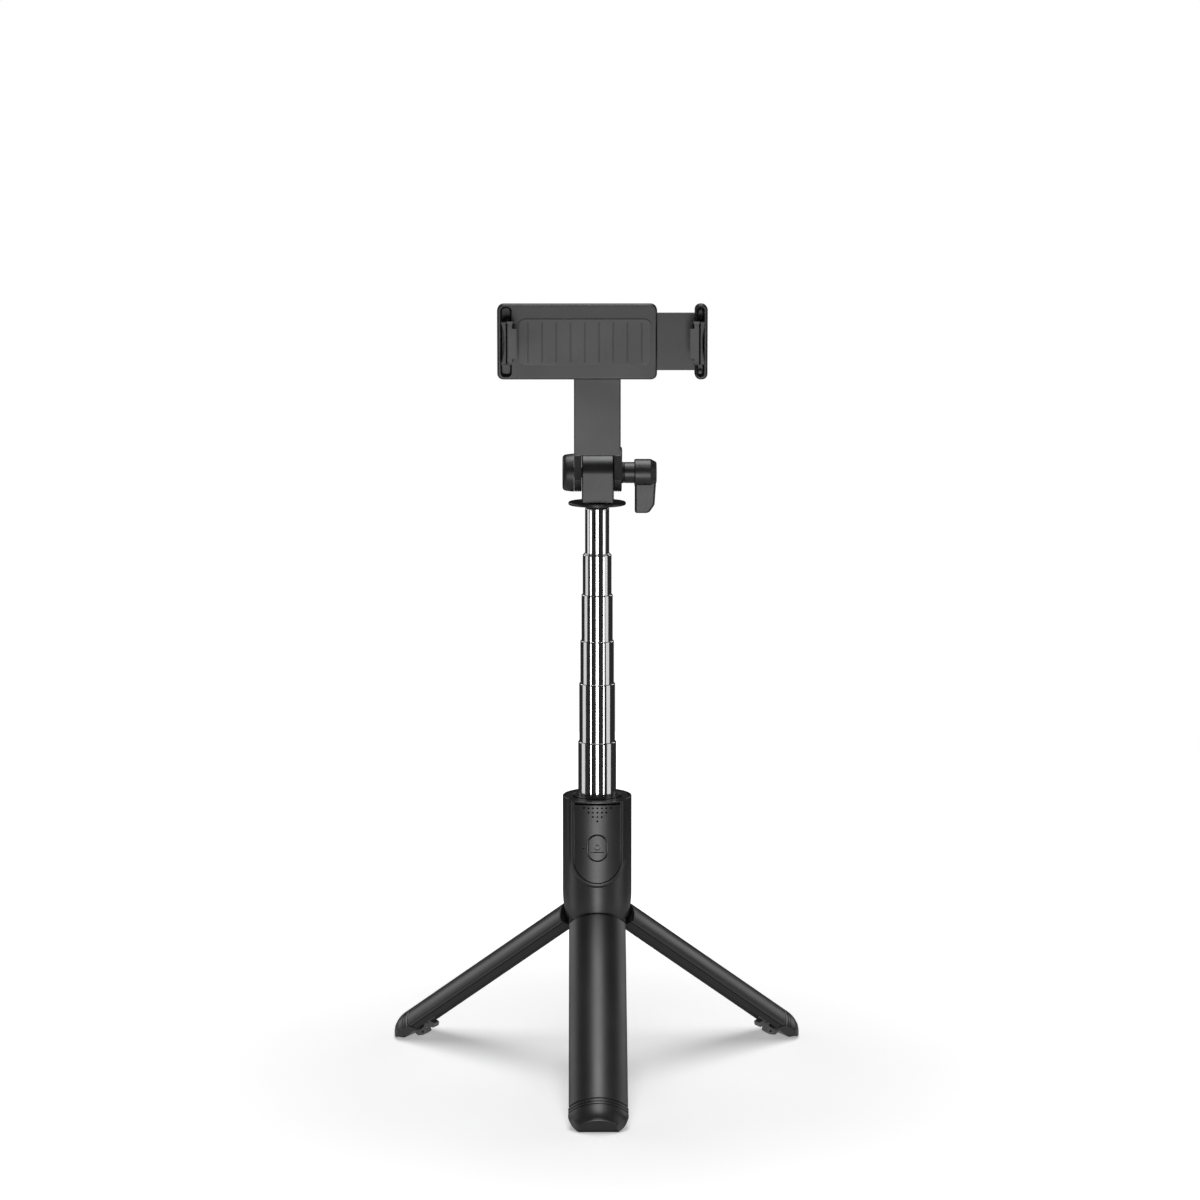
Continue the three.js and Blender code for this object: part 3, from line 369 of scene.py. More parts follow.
# ---- shapes -------------------------------------------------------------------------------------
# An outline is a list of (u, v) points, anticlockwise. An axis rule puts it in space: w is how far it
# has been carried.


def FROM_TOP(u, v, w):
    return (u, v, w)


def FROM_FRONT(u, v, w):
    return (u, w, v)


def FROM_SIDE(u, v, w):
    return (w, u, v)


def arc(cu, cv, radius, start, end, steps=8):
    """Points along an arc between two angles in degrees."""
    angles = [math.radians(start + (end - start) * i / steps) for i in range(steps + 1)]
    return [(cu + radius * math.cos(a), cv + radius * math.sin(a)) for a in angles]


def bezier(p0, p1, p2, p3, steps=8):
    """Points along a cubic curve."""
    points = [Vector(p) for p in (p0, p1, p2, p3)]
    curve = []
    for i in range(steps + 1):
        t = i / steps
        terms = (p * (w * t**k * (1 - t) ** (3 - k)) for k, (p, w) in enumerate(zip(points, (1, 3, 3, 1))))
        curve.append(tuple(sum(terms, Vector((0, 0)))))
    return curve


def rectangle(u0, u1, v0, v1):
    return [(u0, v0), (u1, v0), (u1, v1), (u0, v1)]


def rounded(points, radius, steps=5):
    """An outline with its corners turned into arcs. A third number is a corner's own radius."""
    outline = []
    for i, point in enumerate(points):
        here = Vector(point[:2])
        before = Vector(points[i - 1][:2]) - here
        after = Vector(points[(i + 1) % len(points)][:2]) - here
        wanted = point[2] if len(point) > 2 else radius
        half = before.angle(after) / 2
        if wanted == 0 or half > 1.55:
            outline.append(tuple(here))
            continue
        reach = min(wanted / math.tan(half), 0.48 * before.length, 0.48 * after.length)
        before.normalize()
        after.normalize()
        centre = here + (before + after).normalized() * (reach / math.cos(half))
        start = here + before * reach - centre
        end = here + after * reach - centre
        turn = math.atan2(start.x * end.y - start.y * end.x, start.dot(end))
        first = math.atan2(start.y, start.x)
        for k in range(steps + 1):
            a = first + turn * k / steps
            outline.append((centre.x + start.length * math.cos(a), centre.y + start.length * math.sin(a)))
    return outline


def inset(outline, distance):
    """An anticlockwise outline moved inwards, or outwards by a distance below 0."""
    moved = []
    for i, point in enumerate(outline):
        before = Vector(point) - Vector(outline[i - 1])
        after = Vector(outline[(i + 1) % len(outline)]) - Vector(point)
        sides = [Vector((-d.y, d.x)).normalized() for d in (before, after) if d.length > 1e-9]
        mean = sum(sides, Vector((0, 0))).normalized()
        moved.append(tuple(Vector(point) + mean * (distance / max(mean.dot(sides[0]), 0.35))))
    return moved


def loft(loops, capped=True, wrap=False):
    """Points and faces of a skin over loops that all have the same number of points."""
    count = len(loops[0])
    faces = []
    pairs = range(len(loops) if wrap else len(loops) - 1)
    for i in pairs:
        a, b = i * count, ((i + 1) % len(loops)) * count
        faces += [(a + k, a + (k + 1) % count, b + (k + 1) % count, b + k) for k in range(count)]
    if capped and not wrap:
        faces.append(tuple(range(count))[::-1])
        faces.append(tuple((len(loops) - 1) * count + k for k in range(count)))
    return [p for loop in loops for p in loop], faces


def slab(outline, low, high, axes, edge=0.25, steps=4):
    """An outline carried from low to high, its edges at both ends rounded."""
    rings = [(0, low), (0, high)]
    if edge:
        bends = [math.pi / 2 * i / steps for i in range(steps + 1)]
        start = [(edge * (1 - math.sin(a)), low + edge * (1 - math.cos(a))) for a in bends]
        rings = start + [(d, high - (w - low)) for d, w in reversed(start)]
    return loft([[axes(u, v, w) for u, v in inset(outline, d)] for d, w in rings])


def prism(outline, low, high, axes):
    return slab(outline, low, high, axes, edge=0)


def lathe(profile, axes=FROM_TOP, segments=96):
    """A closed profile of (radius, height) points turned about an axis."""
    turns = [2 * math.pi * k / segments for k in range(segments)]
    loops = [[axes(r * math.cos(a), r * math.sin(a), h) for r, h in profile] for a in turns]
    return loft(loops, wrap=True)


def ring(inner, outer, low, high, edge=0.2, axes=FROM_TOP, segments=96):
    """A turned ring or washer with rounded edges."""
    return lathe(rounded([(inner, low), (outer, low), (outer, high), (inner, high)], edge), axes, segments)


def rod(radius, low, high, edge=0.2, axes=FROM_TOP, segments=64):
    """A turned bar with rounded ends."""
    profile = [(0, low, 0), (radius, low), (radius, high), (0, high, 0)]
    return lathe(rounded(profile, edge), axes, segments)


def shifted(part, x=0, y=0, z=0):
    points, faces = part
    return [(p[0] + x, p[1] + y, p[2] + z) for p in points], faces


def solid(part, at=Matrix()):
    """A closed mesh from points and faces that are in millimetres about the pole."""
    points, faces = part
    shape = bmesh.new()
    corners = [shape.verts.new(POLE + (at @ Vector(p)) * MM) for p in points]
    for corner_ids in faces:
        shape.faces.new([corners[i] for i in corner_ids])
    bmesh.ops.remove_doubles(shape, verts=shape.verts, dist=1e-6)
    bmesh.ops.recalc_face_normals(shape, faces=shape.faces)
    mesh = bpy.data.meshes.new("solid")
    shape.to_mesh(mesh)
    shape.free()
    made = bpy.data.objects.new("solid", mesh)
    scene.collection.objects.link(made)
    return made


def combine(operation, body, others):
    for other in others:
        modifier = body.modifiers.new("combine", "BOOLEAN")
        modifier.operation = operation
        modifier.solver = "MANIFOLD"
        modifier.object = other
    bpy.context.view_layer.update()
    whole = body.evaluated_get(bpy.context.evaluated_depsgraph_get())
    mesh = bpy.data.meshes.new_from_object(whole)
    body.modifiers.clear()
    body.data = mesh
    for other in others:
        bpy.data.objects.remove(other)
    return body


def joined(body, *others):
    return combine("UNION", body, others)


def carved(body, *tools):
    return combine("DIFFERENCE", body, tools)


def common(body, *others):
    return combine("INTERSECT", body, others)


# ---- handing pieces to the frame ----------------------------------------------------------------

SLOT_OF = {part["node"]: part["material_slot"] for part in frame["record"]["subparts"]}
SHARP = 34  # degrees between two faces from which their edge is shaded as sharp


def dress(made, slot, sharp=SHARP):
    """Gives a mesh its material, with shading that is smooth except over sharp edges."""
    made.data.materials.clear()
    made.data.materials.append(MATERIALS[slot])
    made.data.polygons.foreach_set("use_smooth", [True] * len(made.data.polygons))
    made.data.set_sharp_from_angle(angle=math.radians(sharp))
    even = made.modifiers.new("even_normals", "WEIGHTED_NORMAL")
    even.keep_sharp = True


def piece(name, made, *nodes, body=None, slot=None, sharp=SHARP):
    """Names a finished mesh, dresses it, and lets it stand for CAD nodes and move with their body."""
    made.name = name
    made.data.name = name
    slot = slot or SLOT_OF[nodes[0]]
    dress(made, slot, sharp)
    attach(made, body or frame["nodes"][nodes[0]]["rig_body"])
    if nodes:
        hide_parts(*nodes)


# ---- hub and remote -----------------------------------------------------------------------------

GAP = 0.3
HUB_R = span("hub_housing")[1].x
HUB_LOW = span("hub_housing")[0].z
HUB_TOP = span("hub_housing")[1].z
HUB_BORE_R = 8.75
HUB_FLOOR = 76
CAP_ROOM_R = 13.2
CAP_ROOM_FLOOR = HUB_TOP - 2.5
FACE_R = 25.6
FACE_Y = span("remote_front")[0].y
REMOTE_HALF = span("remote_front")[1].x
REMOTE_TOP = span("remote_front")[1].z
REMOTE_BACK = span("remote_front")[1].y
ROUND_Z = span("remote_front")[0].z + REMOTE_HALF
REMOTE_TOP_GAP = 0.45  # the remote stops this far below its box, so that the gap above it shows
SHELL_WALL = 1.2
BUTTON_HALF = 3.9
BUTTON_ROOM = 0.26
BUTTON_PROUD = 0.2
BUTTON_Z = middle("remote_button").z / MM
LENS_X = -5.7
DOT_PITCH = 1.8
DOT_TOP = 111.0
TURNS = {"front": 0, "right": 120, "left": 240}

# How far out from the remote's outline, and how far down from its face to the hub.
RIM_SECTION = (
    (-0.7, 0),
    (0.28, 0),
    (0.5, 0.005),
    (0.8, 0.035),
    (1.1, 0.09),
    (1.35, 0.22),
    (1.6, 0.47),
    (1.85, 0.8),
    (2.05, 1),
)


def about_pole(degrees):
    return Matrix.Rotation(math.radians(degrees), 4, "Z")


def face(u, proud=0.0):
    """Depth of the flatter face that the remote and the rim round it share."""
    radius = FACE_R + proud
    return FACE_Y + FACE_R - math.sqrt(radius**2 - u**2)


def columns(half, low, high, count=40):
    """An outline made of pairs of points, one above the other; low and high give their heights."""
    across = [-half * math.cos(math.pi * k / count) for k in range(count + 1)]
    return [(u, low(u)) for u in across] + [(u, high(u)) for u in across[::-1]]


def remote_outline(half, top):
    return columns(half, lambda u: ROUND_Z - math.sqrt(max(half**2 - u**2, 0)), lambda u: top)


def capsule(half, straight=2.8, count=28):
    def bow(u):
        return straight / 2 + math.sqrt(max(half**2 - u**2, 0))

    return columns(half, lambda u: BUTTON_Z - bow(u), lambda u: BUTTON_Z + bow(u), count)


def ribbed(loops):
    """A skin over column outlines, closed at both ends by strips from each point to its partner."""
    points, faces = loft(loops, capped=False)
    count = len(loops[0])
    for start in (0, (len(loops) - 1) * count):
        for k in range(count // 2 - 1):
            faces.append((start + k, start + k + 1, start + count - 2 - k, start + count - 1 - k))
    return points, faces


def pillow(outline, back, proud=0.0, edge=0.25, steps=4):
    """A column outline carried from a flat back to the shared face, its front edge rounded."""
    loops = [[(u, back, v) for u, v in outline]]
    for i in range(steps + 1):
        a = math.pi / 2 * i / steps
        drop = edge * (1 - math.sin(a))
        loops.append([(u, face(u, proud) + drop, v) for u, v in inset(outline, edge * (1 - math.cos(a)))])
    return ribbed(loops)


def raised_rim():
    """The rim round the remote: level with its face, then sloping down to the hub all round."""
    outline = remote_outline(REMOTE_HALF + GAP, REMOTE_TOP + GAP)
    ceiling = HUB_TOP - 0.15
    loops = []
    for spread, share in RIM_SECTION:
        loop = []
        for u, v in inset(outline, -spread):
            level = face(u)
            flush = -math.sqrt((HUB_R - 0.2) ** 2 - u**2)
            loop.append((u, level + share * (flush - level), min(v, ceiling)))
        loops.append(loop)
    loops.append([(u, -math.sqrt((HUB_R - 1.8) ** 2 - u**2), v) for u, y, v in loops[-1]])
    return ribbed(loops)


def skirt_arch():
    """The low arch over a leg, with a notch for the leg's knuckle."""
    low = HUB_LOW
    right = [(9.4, low - 1)]
    right += bezier((9.4, low - 1), (8.4, low + 1.1), (7.4, low + 1.9), (4.9, low + 1.9), 10)[1:]
    right += [(4.35, low + 2.2), (3.75, low + 2.4), (3.75, low + 3.25)]
    return prism(right + [(-u, v) for u, v in right[::-1]], -16, -4, FROM_FRONT)


def make_hub():
    low = HUB_LOW
    skirt = bezier((HUB_R - 1.2, low), (HUB_R - 0.7, low + 2.2), (HUB_R, low + 5.4), (HUB_R, low + 10.4), 12)
    profile = [
        (HUB_BORE_R, HUB_FLOOR),
        (HUB_R - 1.2, HUB_FLOOR),
        (HUB_R - 1.3, low + 3.4),
        (HUB_R - 1.85, low + 0.15),
        *skirt,
        *arc(HUB_R - 0.45, HUB_TOP - 0.45, 0.45, 0, 90, 5),
        *arc(CAP_ROOM_R + 0.15, HUB_TOP - 0.15, 0.15, 90, 180, 3),
        (CAP_ROOM_R, CAP_ROOM_FLOOR),
        (HUB_BORE_R, CAP_ROOM_FLOOR),
    ]
    shell = solid(lathe(profile, FROM_TOP, 160))
    shell = joined(shell, solid(raised_rim()))
    pocket = prism(remote_outline(REMOTE_HALF + GAP, REMOTE_TOP + GAP), -20, REMOTE_BACK + GAP, FROM_FRONT)
    room = rod(CAP_ROOM_R, CAP_ROOM_FLOOR, HUB_TOP + 1, 0, segments=160)
    arches = [solid(skirt_arch(), at=about_pole(turn)) for turn in TURNS.values()]
    piece("hub_shell", carved(shell, solid(pocket), solid(room), *arches), "hub_housing", sharp=30)


def make_hub_cap():
    low, high = span("hub_top_cap")
    opening = 9.9
    whole = solid(ring(opening, high.x, low.z, high.z, 0.25, segments=144))
    bevel = [(9, high.z - 0.7), (opening, high.z - 0.7), (opening + 0.6, high.z + 0.2), (9, high.z + 0.2)]
    lead_in = lathe(bevel, FROM_TOP, 144)
    room = prism(rectangle(-20, 20, low.z - 1, REMOTE_TOP + 0.4), -20, REMOTE_BACK + 0.6, FROM_FRONT)
    slot = prism(rounded(rectangle(-1.2, 1.2, -0.5, 0.5), 0.3), low.z - 1, high.z + 1, FROM_TOP)
    slots = [solid(shifted(slot, side * opening, -6.6)) for side in (-1, 1)]
    piece("hub_cap", carved(whole, solid(lead_in), solid(room), *slots), "hub_top_cap")


def pinhole(radius, u, v, segments):
    """A tool that drills a small hole through the remote's face."""
    return solid(shifted(rod(radius, face(u) - 1, face(u) + 1.3, 0, FROM_FRONT, segments), u, 0, v))


def make_remote():
    """The remote's front shell, with room for the button, a lens and a triangle of small holes."""
    body = solid(pillow(remote_outline(REMOTE_HALF, REMOTE_TOP - REMOTE_TOP_GAP), REMOTE_BACK))
    inside = remote_outline(REMOTE_HALF - SHELL_WALL, REMOTE_TOP - SHELL_WALL)
    room = pillow(inside, REMOTE_BACK + 1, -0.9, 0.1)
    edge = capsule(BUTTON_HALF + BUTTON_ROOM)
    hole = pillow(edge, -11, 1.5, 0.1)
    bevel = ((0.2, 0.4), (0.0, 0.2), (-0.3, -0.1))
    mouth = [[(u, face(u) + d, v) for u, v in inset(edge, w)] for w, d in bevel]
    tools = [solid(room), solid(hole), solid(ribbed(mouth)), pinhole(0.55, LENS_X, BUTTON_Z, 24)]
    for row, many in enumerate((7, 5, 3, 1)):
        for k in range(many):
            tools.append(pinhole(0.42, (k - (many - 1) / 2) * DOT_PITCH, DOT_TOP - DOT_PITCH * row, 12))
    piece("remote_shell", carved(body, *tools), "remote_front", sharp=30)
    front = face(LENS_X)
    lens = solid(shifted(rod(0.53, front + 0.8, front + 1.2, 0.06, FROM_FRONT, 24), LENS_X, 0, BUTTON_Z))
    piece("remote_lens", lens, body=frame["nodes"]["remote_front"]["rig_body"], slot="matt_black")


def make_button():
    """The button's cap, with a ring over a line sunk into it."""
    cap = solid(pillow(capsule(BUTTON_HALF), -13.4, BUTTON_PROUD, 0.3))
    flange = solid(prism(capsule(BUTTON_HALF + 0.6), -14.0, -13.2, FROM_FRONT))
    front = face(0, BUTTON_PROUD)
    circle = ring(0.8, 1.3, front - 1, front + 0.8, 0, FROM_FRONT, 32)
    line = prism(rounded(rectangle(-2.8, 2.8, -0.23, 0.23), 0.15), front - 1, front + 0.9, FROM_FRONT)
    icon = [solid(shifted(circle, z=BUTTON_Z + 0.3)), solid(shifted(line, z=BUTTON_Z - 1.7))]
    piece("button_cap", carved(joined(cap, flange), *icon), "remote_button", sharp=30)


# ---- legs ---------------------------------------------------------------------------------------
# A leg is drawn folded, its pin at the origin: it hangs down -Z and its outside faces -Y.

SPLAY = math.radians(54)
PIVOT_R = 10.4
PIVOT_Z = 65.6
LEG_R = 13.95
LEG_HALF = 57.3
SHELL_END = 95.3
NOSE_R = 8.5
NOSE_AT = 100.1
PLAN_R = 12.98  # seen from above, the end of a foot is round
PLAN_AT = 84.55
RECESS_BACK = 93.6


def polar(radius, degrees):
    a = math.radians(degrees)
    return (radius * math.cos(a), PIVOT_R + radius * math.sin(a))


def sector(inner, outer, half, edge=0.3, steps=40):
    """A ring sector about the folded pole's axis, open towards the back, its corners rounded."""
    near = half - math.degrees(edge / (outer - edge))
    far = half - math.degrees(edge / (inner + edge))
    return [
        *arc(0, PIVOT_R, outer, -90 - near, -90 + near, steps),
        *arc(*polar(outer - edge, near - 90), edge, near - 90, near, 4)[1:],
        *arc(*polar(inner + edge, far - 90), edge, far, far + 90, 4),
        *arc(0, PIVOT_R, inner, -90 + far, -90 - far, steps)[1:],
        *arc(*polar(inner + edge, -far - 90), edge, 90 - far, 180 - far, 4)[1:],
        *arc(*polar(outer - edge, -near - 90), edge, 180 - near, 270 - near, 4)[:-1],
    ]


def liner(at):
    """The trough under the shell, closed near the pin, and the knuckle that turns on the pin."""
    top = -2.8
    trough = solid(slab(sector(8.3, 11.65, LEG_HALF - 0.3, 0.35), -SHELL_END, top, FROM_TOP, 0.2), at=at)
    hollow = solid(slab(sector(9.5, 13, LEG_HALF - 7.2, 0.2), -SHELL_END - 1, top - 8, FROM_TOP, 0), at=at)
    outline = arc(0, 0, 2.1, 10, 216, 20) + [(-0.6, -2.3), (-0.6, -6), (1.9, -6)]
    knuckle = solid(slab(outline, -3.5, 3.5, FROM_SIDE, 0.2), at=at)
    bore = solid(rod(1.1, -5, 5, 0, FROM_SIDE, 32), at=at)
    return carved(joined(carved(trough, hollow), knuckle), bore)


def foot_profile():
    """The foot's outside turned about the folded pole's axis: two fine grooves and a round nose."""
    start = SHELL_END + GAP
    wall = [(LEG_R - 0.2, -start), (LEG_R, -start - 0.2)]
    for s in (start + 1.35, start + 2.6):
        wall += [(LEG_R, -s + 0.22), (LEG_R - 0.32, -s + 0.1), (LEG_R - 0.32, -s - 0.1), (LEG_R, -s - 0.22)]
    return [(0, -start), *wall, *arc(LEG_R - NOSE_R, -NOSE_AT, NOSE_R, 0, -90, 24), (0, -NOSE_AT - NOSE_R)]


def sweep(path, radius, steps=10):
    """A round bead along a path, which narrows to nothing at both ends."""
    loops = []
    for i, point in enumerate(path):
        along = (path[min(i + 1, len(path) - 1)] - path[max(i - 1, 0)]).normalized()
        across = along.cross(Vector((0, -1, 0))).normalized()
        over = along.cross(across)
        size = radius * max(math.sin(math.pi * i / (len(path) - 1)) ** 0.4, 0.05)
        turns = [2 * math.pi * k / steps for k in range(steps)]
        loops.append([tuple(point + (across * math.cos(a) + over * math.sin(a)) * size) for a in turns])
    return loft(loops)


def nose_reach(z):
    """How far out the nose of a foot stands at a height above the ground."""
    cosine, sine = 0.588, 0.809  # of the splay
    centre = PIVOT_R + cosine * (LEG_R - NOSE_R - PIVOT_R) + sine * NOSE_AT
    height = PIVOT_Z + sine * (LEG_R - NOSE_R - PIVOT_R) - cosine * NOSE_AT
    return centre + math.sqrt(NOSE_R**2 - (z - height) ** 2)


def foot_outline():
    """Seen from the end, the foot narrows in two large rounds to a flat that stands on the ground."""
    right = bezier((6.0, 0), (9.6, 0.1), (11.9, 2.6), (12.4, 7.6), 16) + [(12.4, 30)]
    return right + [(-u, v) for u, v in right[::-1]]


def foot_arch():
    """The arched recess in the end of a foot, seen from the end."""
    crown = bezier((8.2, -0.5), (7.2, 3.0), (4.4, 5.2), (0, 5.2), 14)
    return crown + [(-u, v) for u, v in crown[-2::-1]]


def shaded_sole(turn):
    """A matt-black block that fills the back of a foot's recess and slopes in towards the ground: painted
    shade, darkening the recess as the shadow under the foot's lip does.
    """
    arch = [(0.95 * u, 0.95 * v + 0.5) for u, v in foot_arch()]
    back = [(u, -RECESS_BACK - 0.1, v) for u, v in arch]
    front = [(u, -RECESS_BACK - 0.7 - 0.32 * v, v) for u, v in arch]
    return solid(loft([front, back]), at=about_pole(turn))


def foot(at, turn):
    """The cap on a leg's end: turned about the leg, then cut to stand upright on the ground."""
    body = solid(shifted(lathe(foot_profile(), FROM_TOP, 200), y=PIVOT_R), at=at)
    right = [polar(8.3, LEG_HALF - 90), polar(30, LEG_HALF - 90), (30, -30)]
    wedge = right + [(-u, v) for u, v in right[::-1]]
    wedge = solid(prism(wedge[::-1], -120, -90, FROM_TOP), at=at)
    standing = solid(prism(foot_outline(), -110, -40, FROM_FRONT), at=about_pole(turn))
    toe = [(-40, 0), *bezier((-95.1, 0), (-96.1, 0.1), (-96.8, 0.9), (-97.4, 2.4), 6), (-98, 30), (-40, 30)]
    toe = solid(prism(toe, -20, 20, FROM_SIDE), at=about_pole(turn))
    arch = foot_arch()
    hollow = [[(u, -110, v) for u, v in arch], [(u, -96.4, v) for u, v in arch]]
    hollow.append([(0.97 * u, -RECESS_BACK, 0.98 * v - 0.02) for u, v in arch])
    undercut = solid(loft(hollow), at=about_pole(turn))
    path = [Vector((1.05 * u, u**2 / 24 + 0.2 - nose_reach(v + 0.35), v + 0.35)) for u, v in arch if v > 0.9]
    lip = solid(sweep(path, 0.58), at=about_pole(turn))
    plan = [(PLAN_R, -40), (-PLAN_R, -40), *arc(0, -PLAN_AT, PLAN_R, 180, 360, 48)]
    plan = solid(prism(plan, -1, 40, FROM_TOP), at=about_pole(turn))
    return joined(carved(common(body, wedge, standing, toe, plan), undercut), lip)


def clip(at):
    """The hook under the end of a leg: a saw-toothed strip with an eye and a slanting slit."""
    outline = [
        (2.4, -95),
        (2.4, -89.8),
        (5.6, -90.9),
        (7.6, -89.7, 0.5),
        (9.0, -91.2, 0.5),
        (7.5, -92.9),
        (6.6, -93.6),
        (7.1, -94.8),
        (9.0, -95.5, 0.5),
        (9.0, -97.7),
        (7.9, -100.2, 0.5),
        (6.2, -101),
        (6.2, -95),
    ]
    body = solid(slab(rounded(outline[::-1], 0.25), -2, 2, FROM_SIDE, 0.15), at=at)
    eye = solid(shifted(rod(0.55, -3, 3, 0, FROM_SIDE, 24), 0, 7.7, -97.1), at=at)
    slit = [(3.4, -94.6), (3.9, -94.6), (6.2, -92.4), (5.7, -92.4)]
    return carved(body, eye, solid(prism(slit, -3, 3, FROM_SIDE), at=at))


def make_legs():
    for name, turn in TURNS.items():
        at = about_pole(turn) @ Matrix.Translation((0, -PIVOT_R, PIVOT_Z)) @ Matrix.Rotation(-SPLAY, 4, "X")
        shell = slab(sector(LEG_R - 2, LEG_R, LEG_HALF, 0.45, 64), -SHELL_END, -2.4, FROM_TOP, 0.35)
        piece("leg_tube_" + name, solid(shell, at=at), "leg_shell_" + name)
        piece("leg_trough_" + name, liner(at), "leg_liner_" + name)
        piece("foot_" + name, foot(at, turn), "leg_foot_" + name, sharp=30)
        leg_body = frame["nodes"]["leg_foot_" + name]["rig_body"]
        # the block in the foot's recess is dressed matt black as painted shade
        piece("sole_" + name, shaded_sole(turn), body=leg_body, slot="matt_black")
        piece("clip_" + name, clip(at), "leg_clip_" + name)
        pin = solid(rod(0.8, -4.8, 4.8, 0.2, FROM_SIDE, 32), at=at)
        piece("pin_" + name, pin, "hinge_pin_" + name)


# ---- telescopic pole ----------------------------------------------------------------------------

GROOVE_FLOOR = 2.12
GROOVE_WALL = 2.46
GROOVE_EDGE = 2.78


def groove_outline(radius):
    """A tube's outline: round, with a soft-edged groove down the front whose floor bulges a little."""
    floor = 0.45 - math.sqrt(radius**2 - 2.6**2)
    shoulder = -math.sqrt(radius**2 - GROOVE_EDGE**2)
    side = [(GROOVE_FLOOR, floor), (2.38, shoulder + 0.12), (GROOVE_WALL, shoulder)]
    bulge = [(0.26 * k, floor - 0.42 * (1 - (0.26 * k / GROOVE_FLOOR) ** 2)) for k in range(-7, 8)]
    left = [(-u, v) for u, v in side[::-1]]
    start = math.degrees(math.atan2(shoulder, GROOVE_EDGE))
    return arc(0, 0, radius, start, 180 - start, 120) + left + bulge + side


def make_tubes():
    for number in range(1, 8):
        node = f"tube_{number}"
        low, high = span(node)
        radius = (high.x - low.x) / 2
        bends = [math.radians(15 * k) for k in range(7)]
        crimp = [(0.24 * (1 - math.cos(a)), high.z - 0.5 * (1 - math.sin(a))) for a in bends]
        wall = [(0, low.z), (0, high.z - 3), *crimp, (0.3, high.z - 0.02), (0.3, low.z)]
        outline = groove_outline(radius)
        loops = [[(u, v, z) for u, v in inset(outline, d)] for d, z in wall]
        tube = solid(loft(loops, wrap=True))
        if number == 1:
            slot = rounded(rectangle(-1.3, -0.7, high.z - 12.1, high.z - 1.2), 0.25)
            tube = carved(tube, solid(prism(slot, -6, -2, FROM_FRONT)))
        piece(f"pole_tube_{number}", tube, node, sharp=14)


# ---- tilt head ----------------------------------------------------------------------------------

TILT_Z = middle("tilt_bolt").z / MM
POST_R = span("head_post")[1].y
POST_FOOT = 234.5
CLOSE = 0.06  # turning faces stand this far apart
ARM_HALF = 9.3
ARM_FRONT = -17.5
ARM_LOW = 8.4  # the arm starts with a bridge between the cheeks, from here to BRIDGE_TOP
BRIDGE_TOP = 11.2
BRIDGE_BACK = -8.6
ALONG_BOLT = {"axes": FROM_SIDE, "segments": 96}


def at_tilt(part):
    return shifted(part, z=TILT_Z)


def make_disc():
    low, high = span("head_disc")
    piece("top_disc", solid(ring(3.4, high.x, low.z, high.z, 0.5, segments=128)), "head_disc")
    low, high = span("tube_collar")
    teeth = []
    for k in range(40):
        for share, r in ((0.0, 4.75), (0.3, 4.8), (0.45, 5.2), (0.85, 5.2)):
            a = 2 * math.pi * (k + share) / 40
            teeth.append((r * math.cos(a), r * math.sin(a)))
    collar = carved(solid(slab(teeth, low.z, high.z, FROM_TOP, 0.08, 2)), solid(rod(3.4, 200, 250, 0)))
    piece("toothed_collar", collar, "tube_collar")


def make_post():
    low, high = span("head_post")
    outline = [(-POST_R, POST_FOOT), (POST_R, POST_FOOT), *arc(0, TILT_Z, POST_R, 0, 180, 48)]
    block = solid(slab(outline, low.x, high.x, FROM_SIDE, 0.6, 5))
    stem = solid(rod(3.1, low.z, POST_FOOT + 2, 0.3))
    left = solid(at_tilt(rod(4.6, low.x - 1, low.x + 0.9, 0, FROM_SIDE)))
    right = solid(at_tilt(rod(4.6, high.x - 0.9, high.x + 1, 0, FROM_SIDE)))
    bore = solid(at_tilt(rod(2.4, low.x - 2, high.x + 2, 0, FROM_SIDE)))
    piece("tilt_block", carved(joined(block, stem), left, right, bore), "head_post")


def cheek(x0, x1):
    """A round cheek whose rim has fine rings, and the arm that carries it forward."""
    rim = [(0, x0), (POST_R - 0.35, x0), (POST_R, x0 + 0.35)]
    for k in range(1, 4):
        x = x0 + (x1 - x0) * k / 4
        rim += [(POST_R, x - 0.16), (POST_R - 0.26, x - 0.07), (POST_R - 0.26, x + 0.07), (POST_R, x + 0.16)]
    rim += [(POST_R, x1 - 0.35), (POST_R - 0.35, x1), (0, x1)]
    arm = [(-POST_R + 0.1, -2.4), (-2.4, 0), (-2.4, POST_R - 0.5)]
    arm += [(BRIDGE_BACK, BRIDGE_TOP), (ARM_FRONT, BRIDGE_TOP), (ARM_FRONT, ARM_LOW)]
    arm = slab(rounded(arm, 0.8), x0, x1, FROM_SIDE, 0.35)
    return solid(at_tilt(lathe(rim, **ALONG_BOLT))), solid(at_tilt(arm))


def make_yoke():
    low, high = span("tilt_yoke")
    swivel_z = high.z - ARM_HALF
    start = TILT_Z + ARM_LOW
    plate = [(-ARM_HALF, start), (ARM_HALF, start), *arc(0, swivel_z, ARM_HALF, 0, 180, 48)]
    arm = solid(slab(plate, ARM_FRONT, -14.6, FROM_FRONT, 0.5, 5))
    bridge = rounded(rectangle(ARM_FRONT, BRIDGE_BACK, ARM_LOW, BRIDGE_TOP), 0.5)
    bridge = solid(at_tilt(slab(bridge, low.x, high.x, FROM_SIDE, 0.35)))
    left = cheek(low.x, span("head_post")[0].x - CLOSE)
    right = cheek(span("head_post")[1].x + CLOSE, high.x)
    bore = solid(at_tilt(rod(2.4, low.x - 1, high.x + 1, 0, FROM_SIDE)))
    hole = solid(shifted(rod(2.5, -20, -10, 0, FROM_FRONT), z=swivel_z))
    seat = solid(shifted(rod(4.7, -16.4, -10, 0, FROM_FRONT), z=swivel_z))
    hollow = rounded(rectangle(-6.6, 6.6, TILT_Z + 14, swivel_z - 7), 2.5)
    hollow = solid(prism(hollow, -15.1, -10, FROM_FRONT))
    piece("tilt_arm", carved(joined(arm, bridge, *left, *right), bore, hole, seat, hollow), "tilt_yoke")


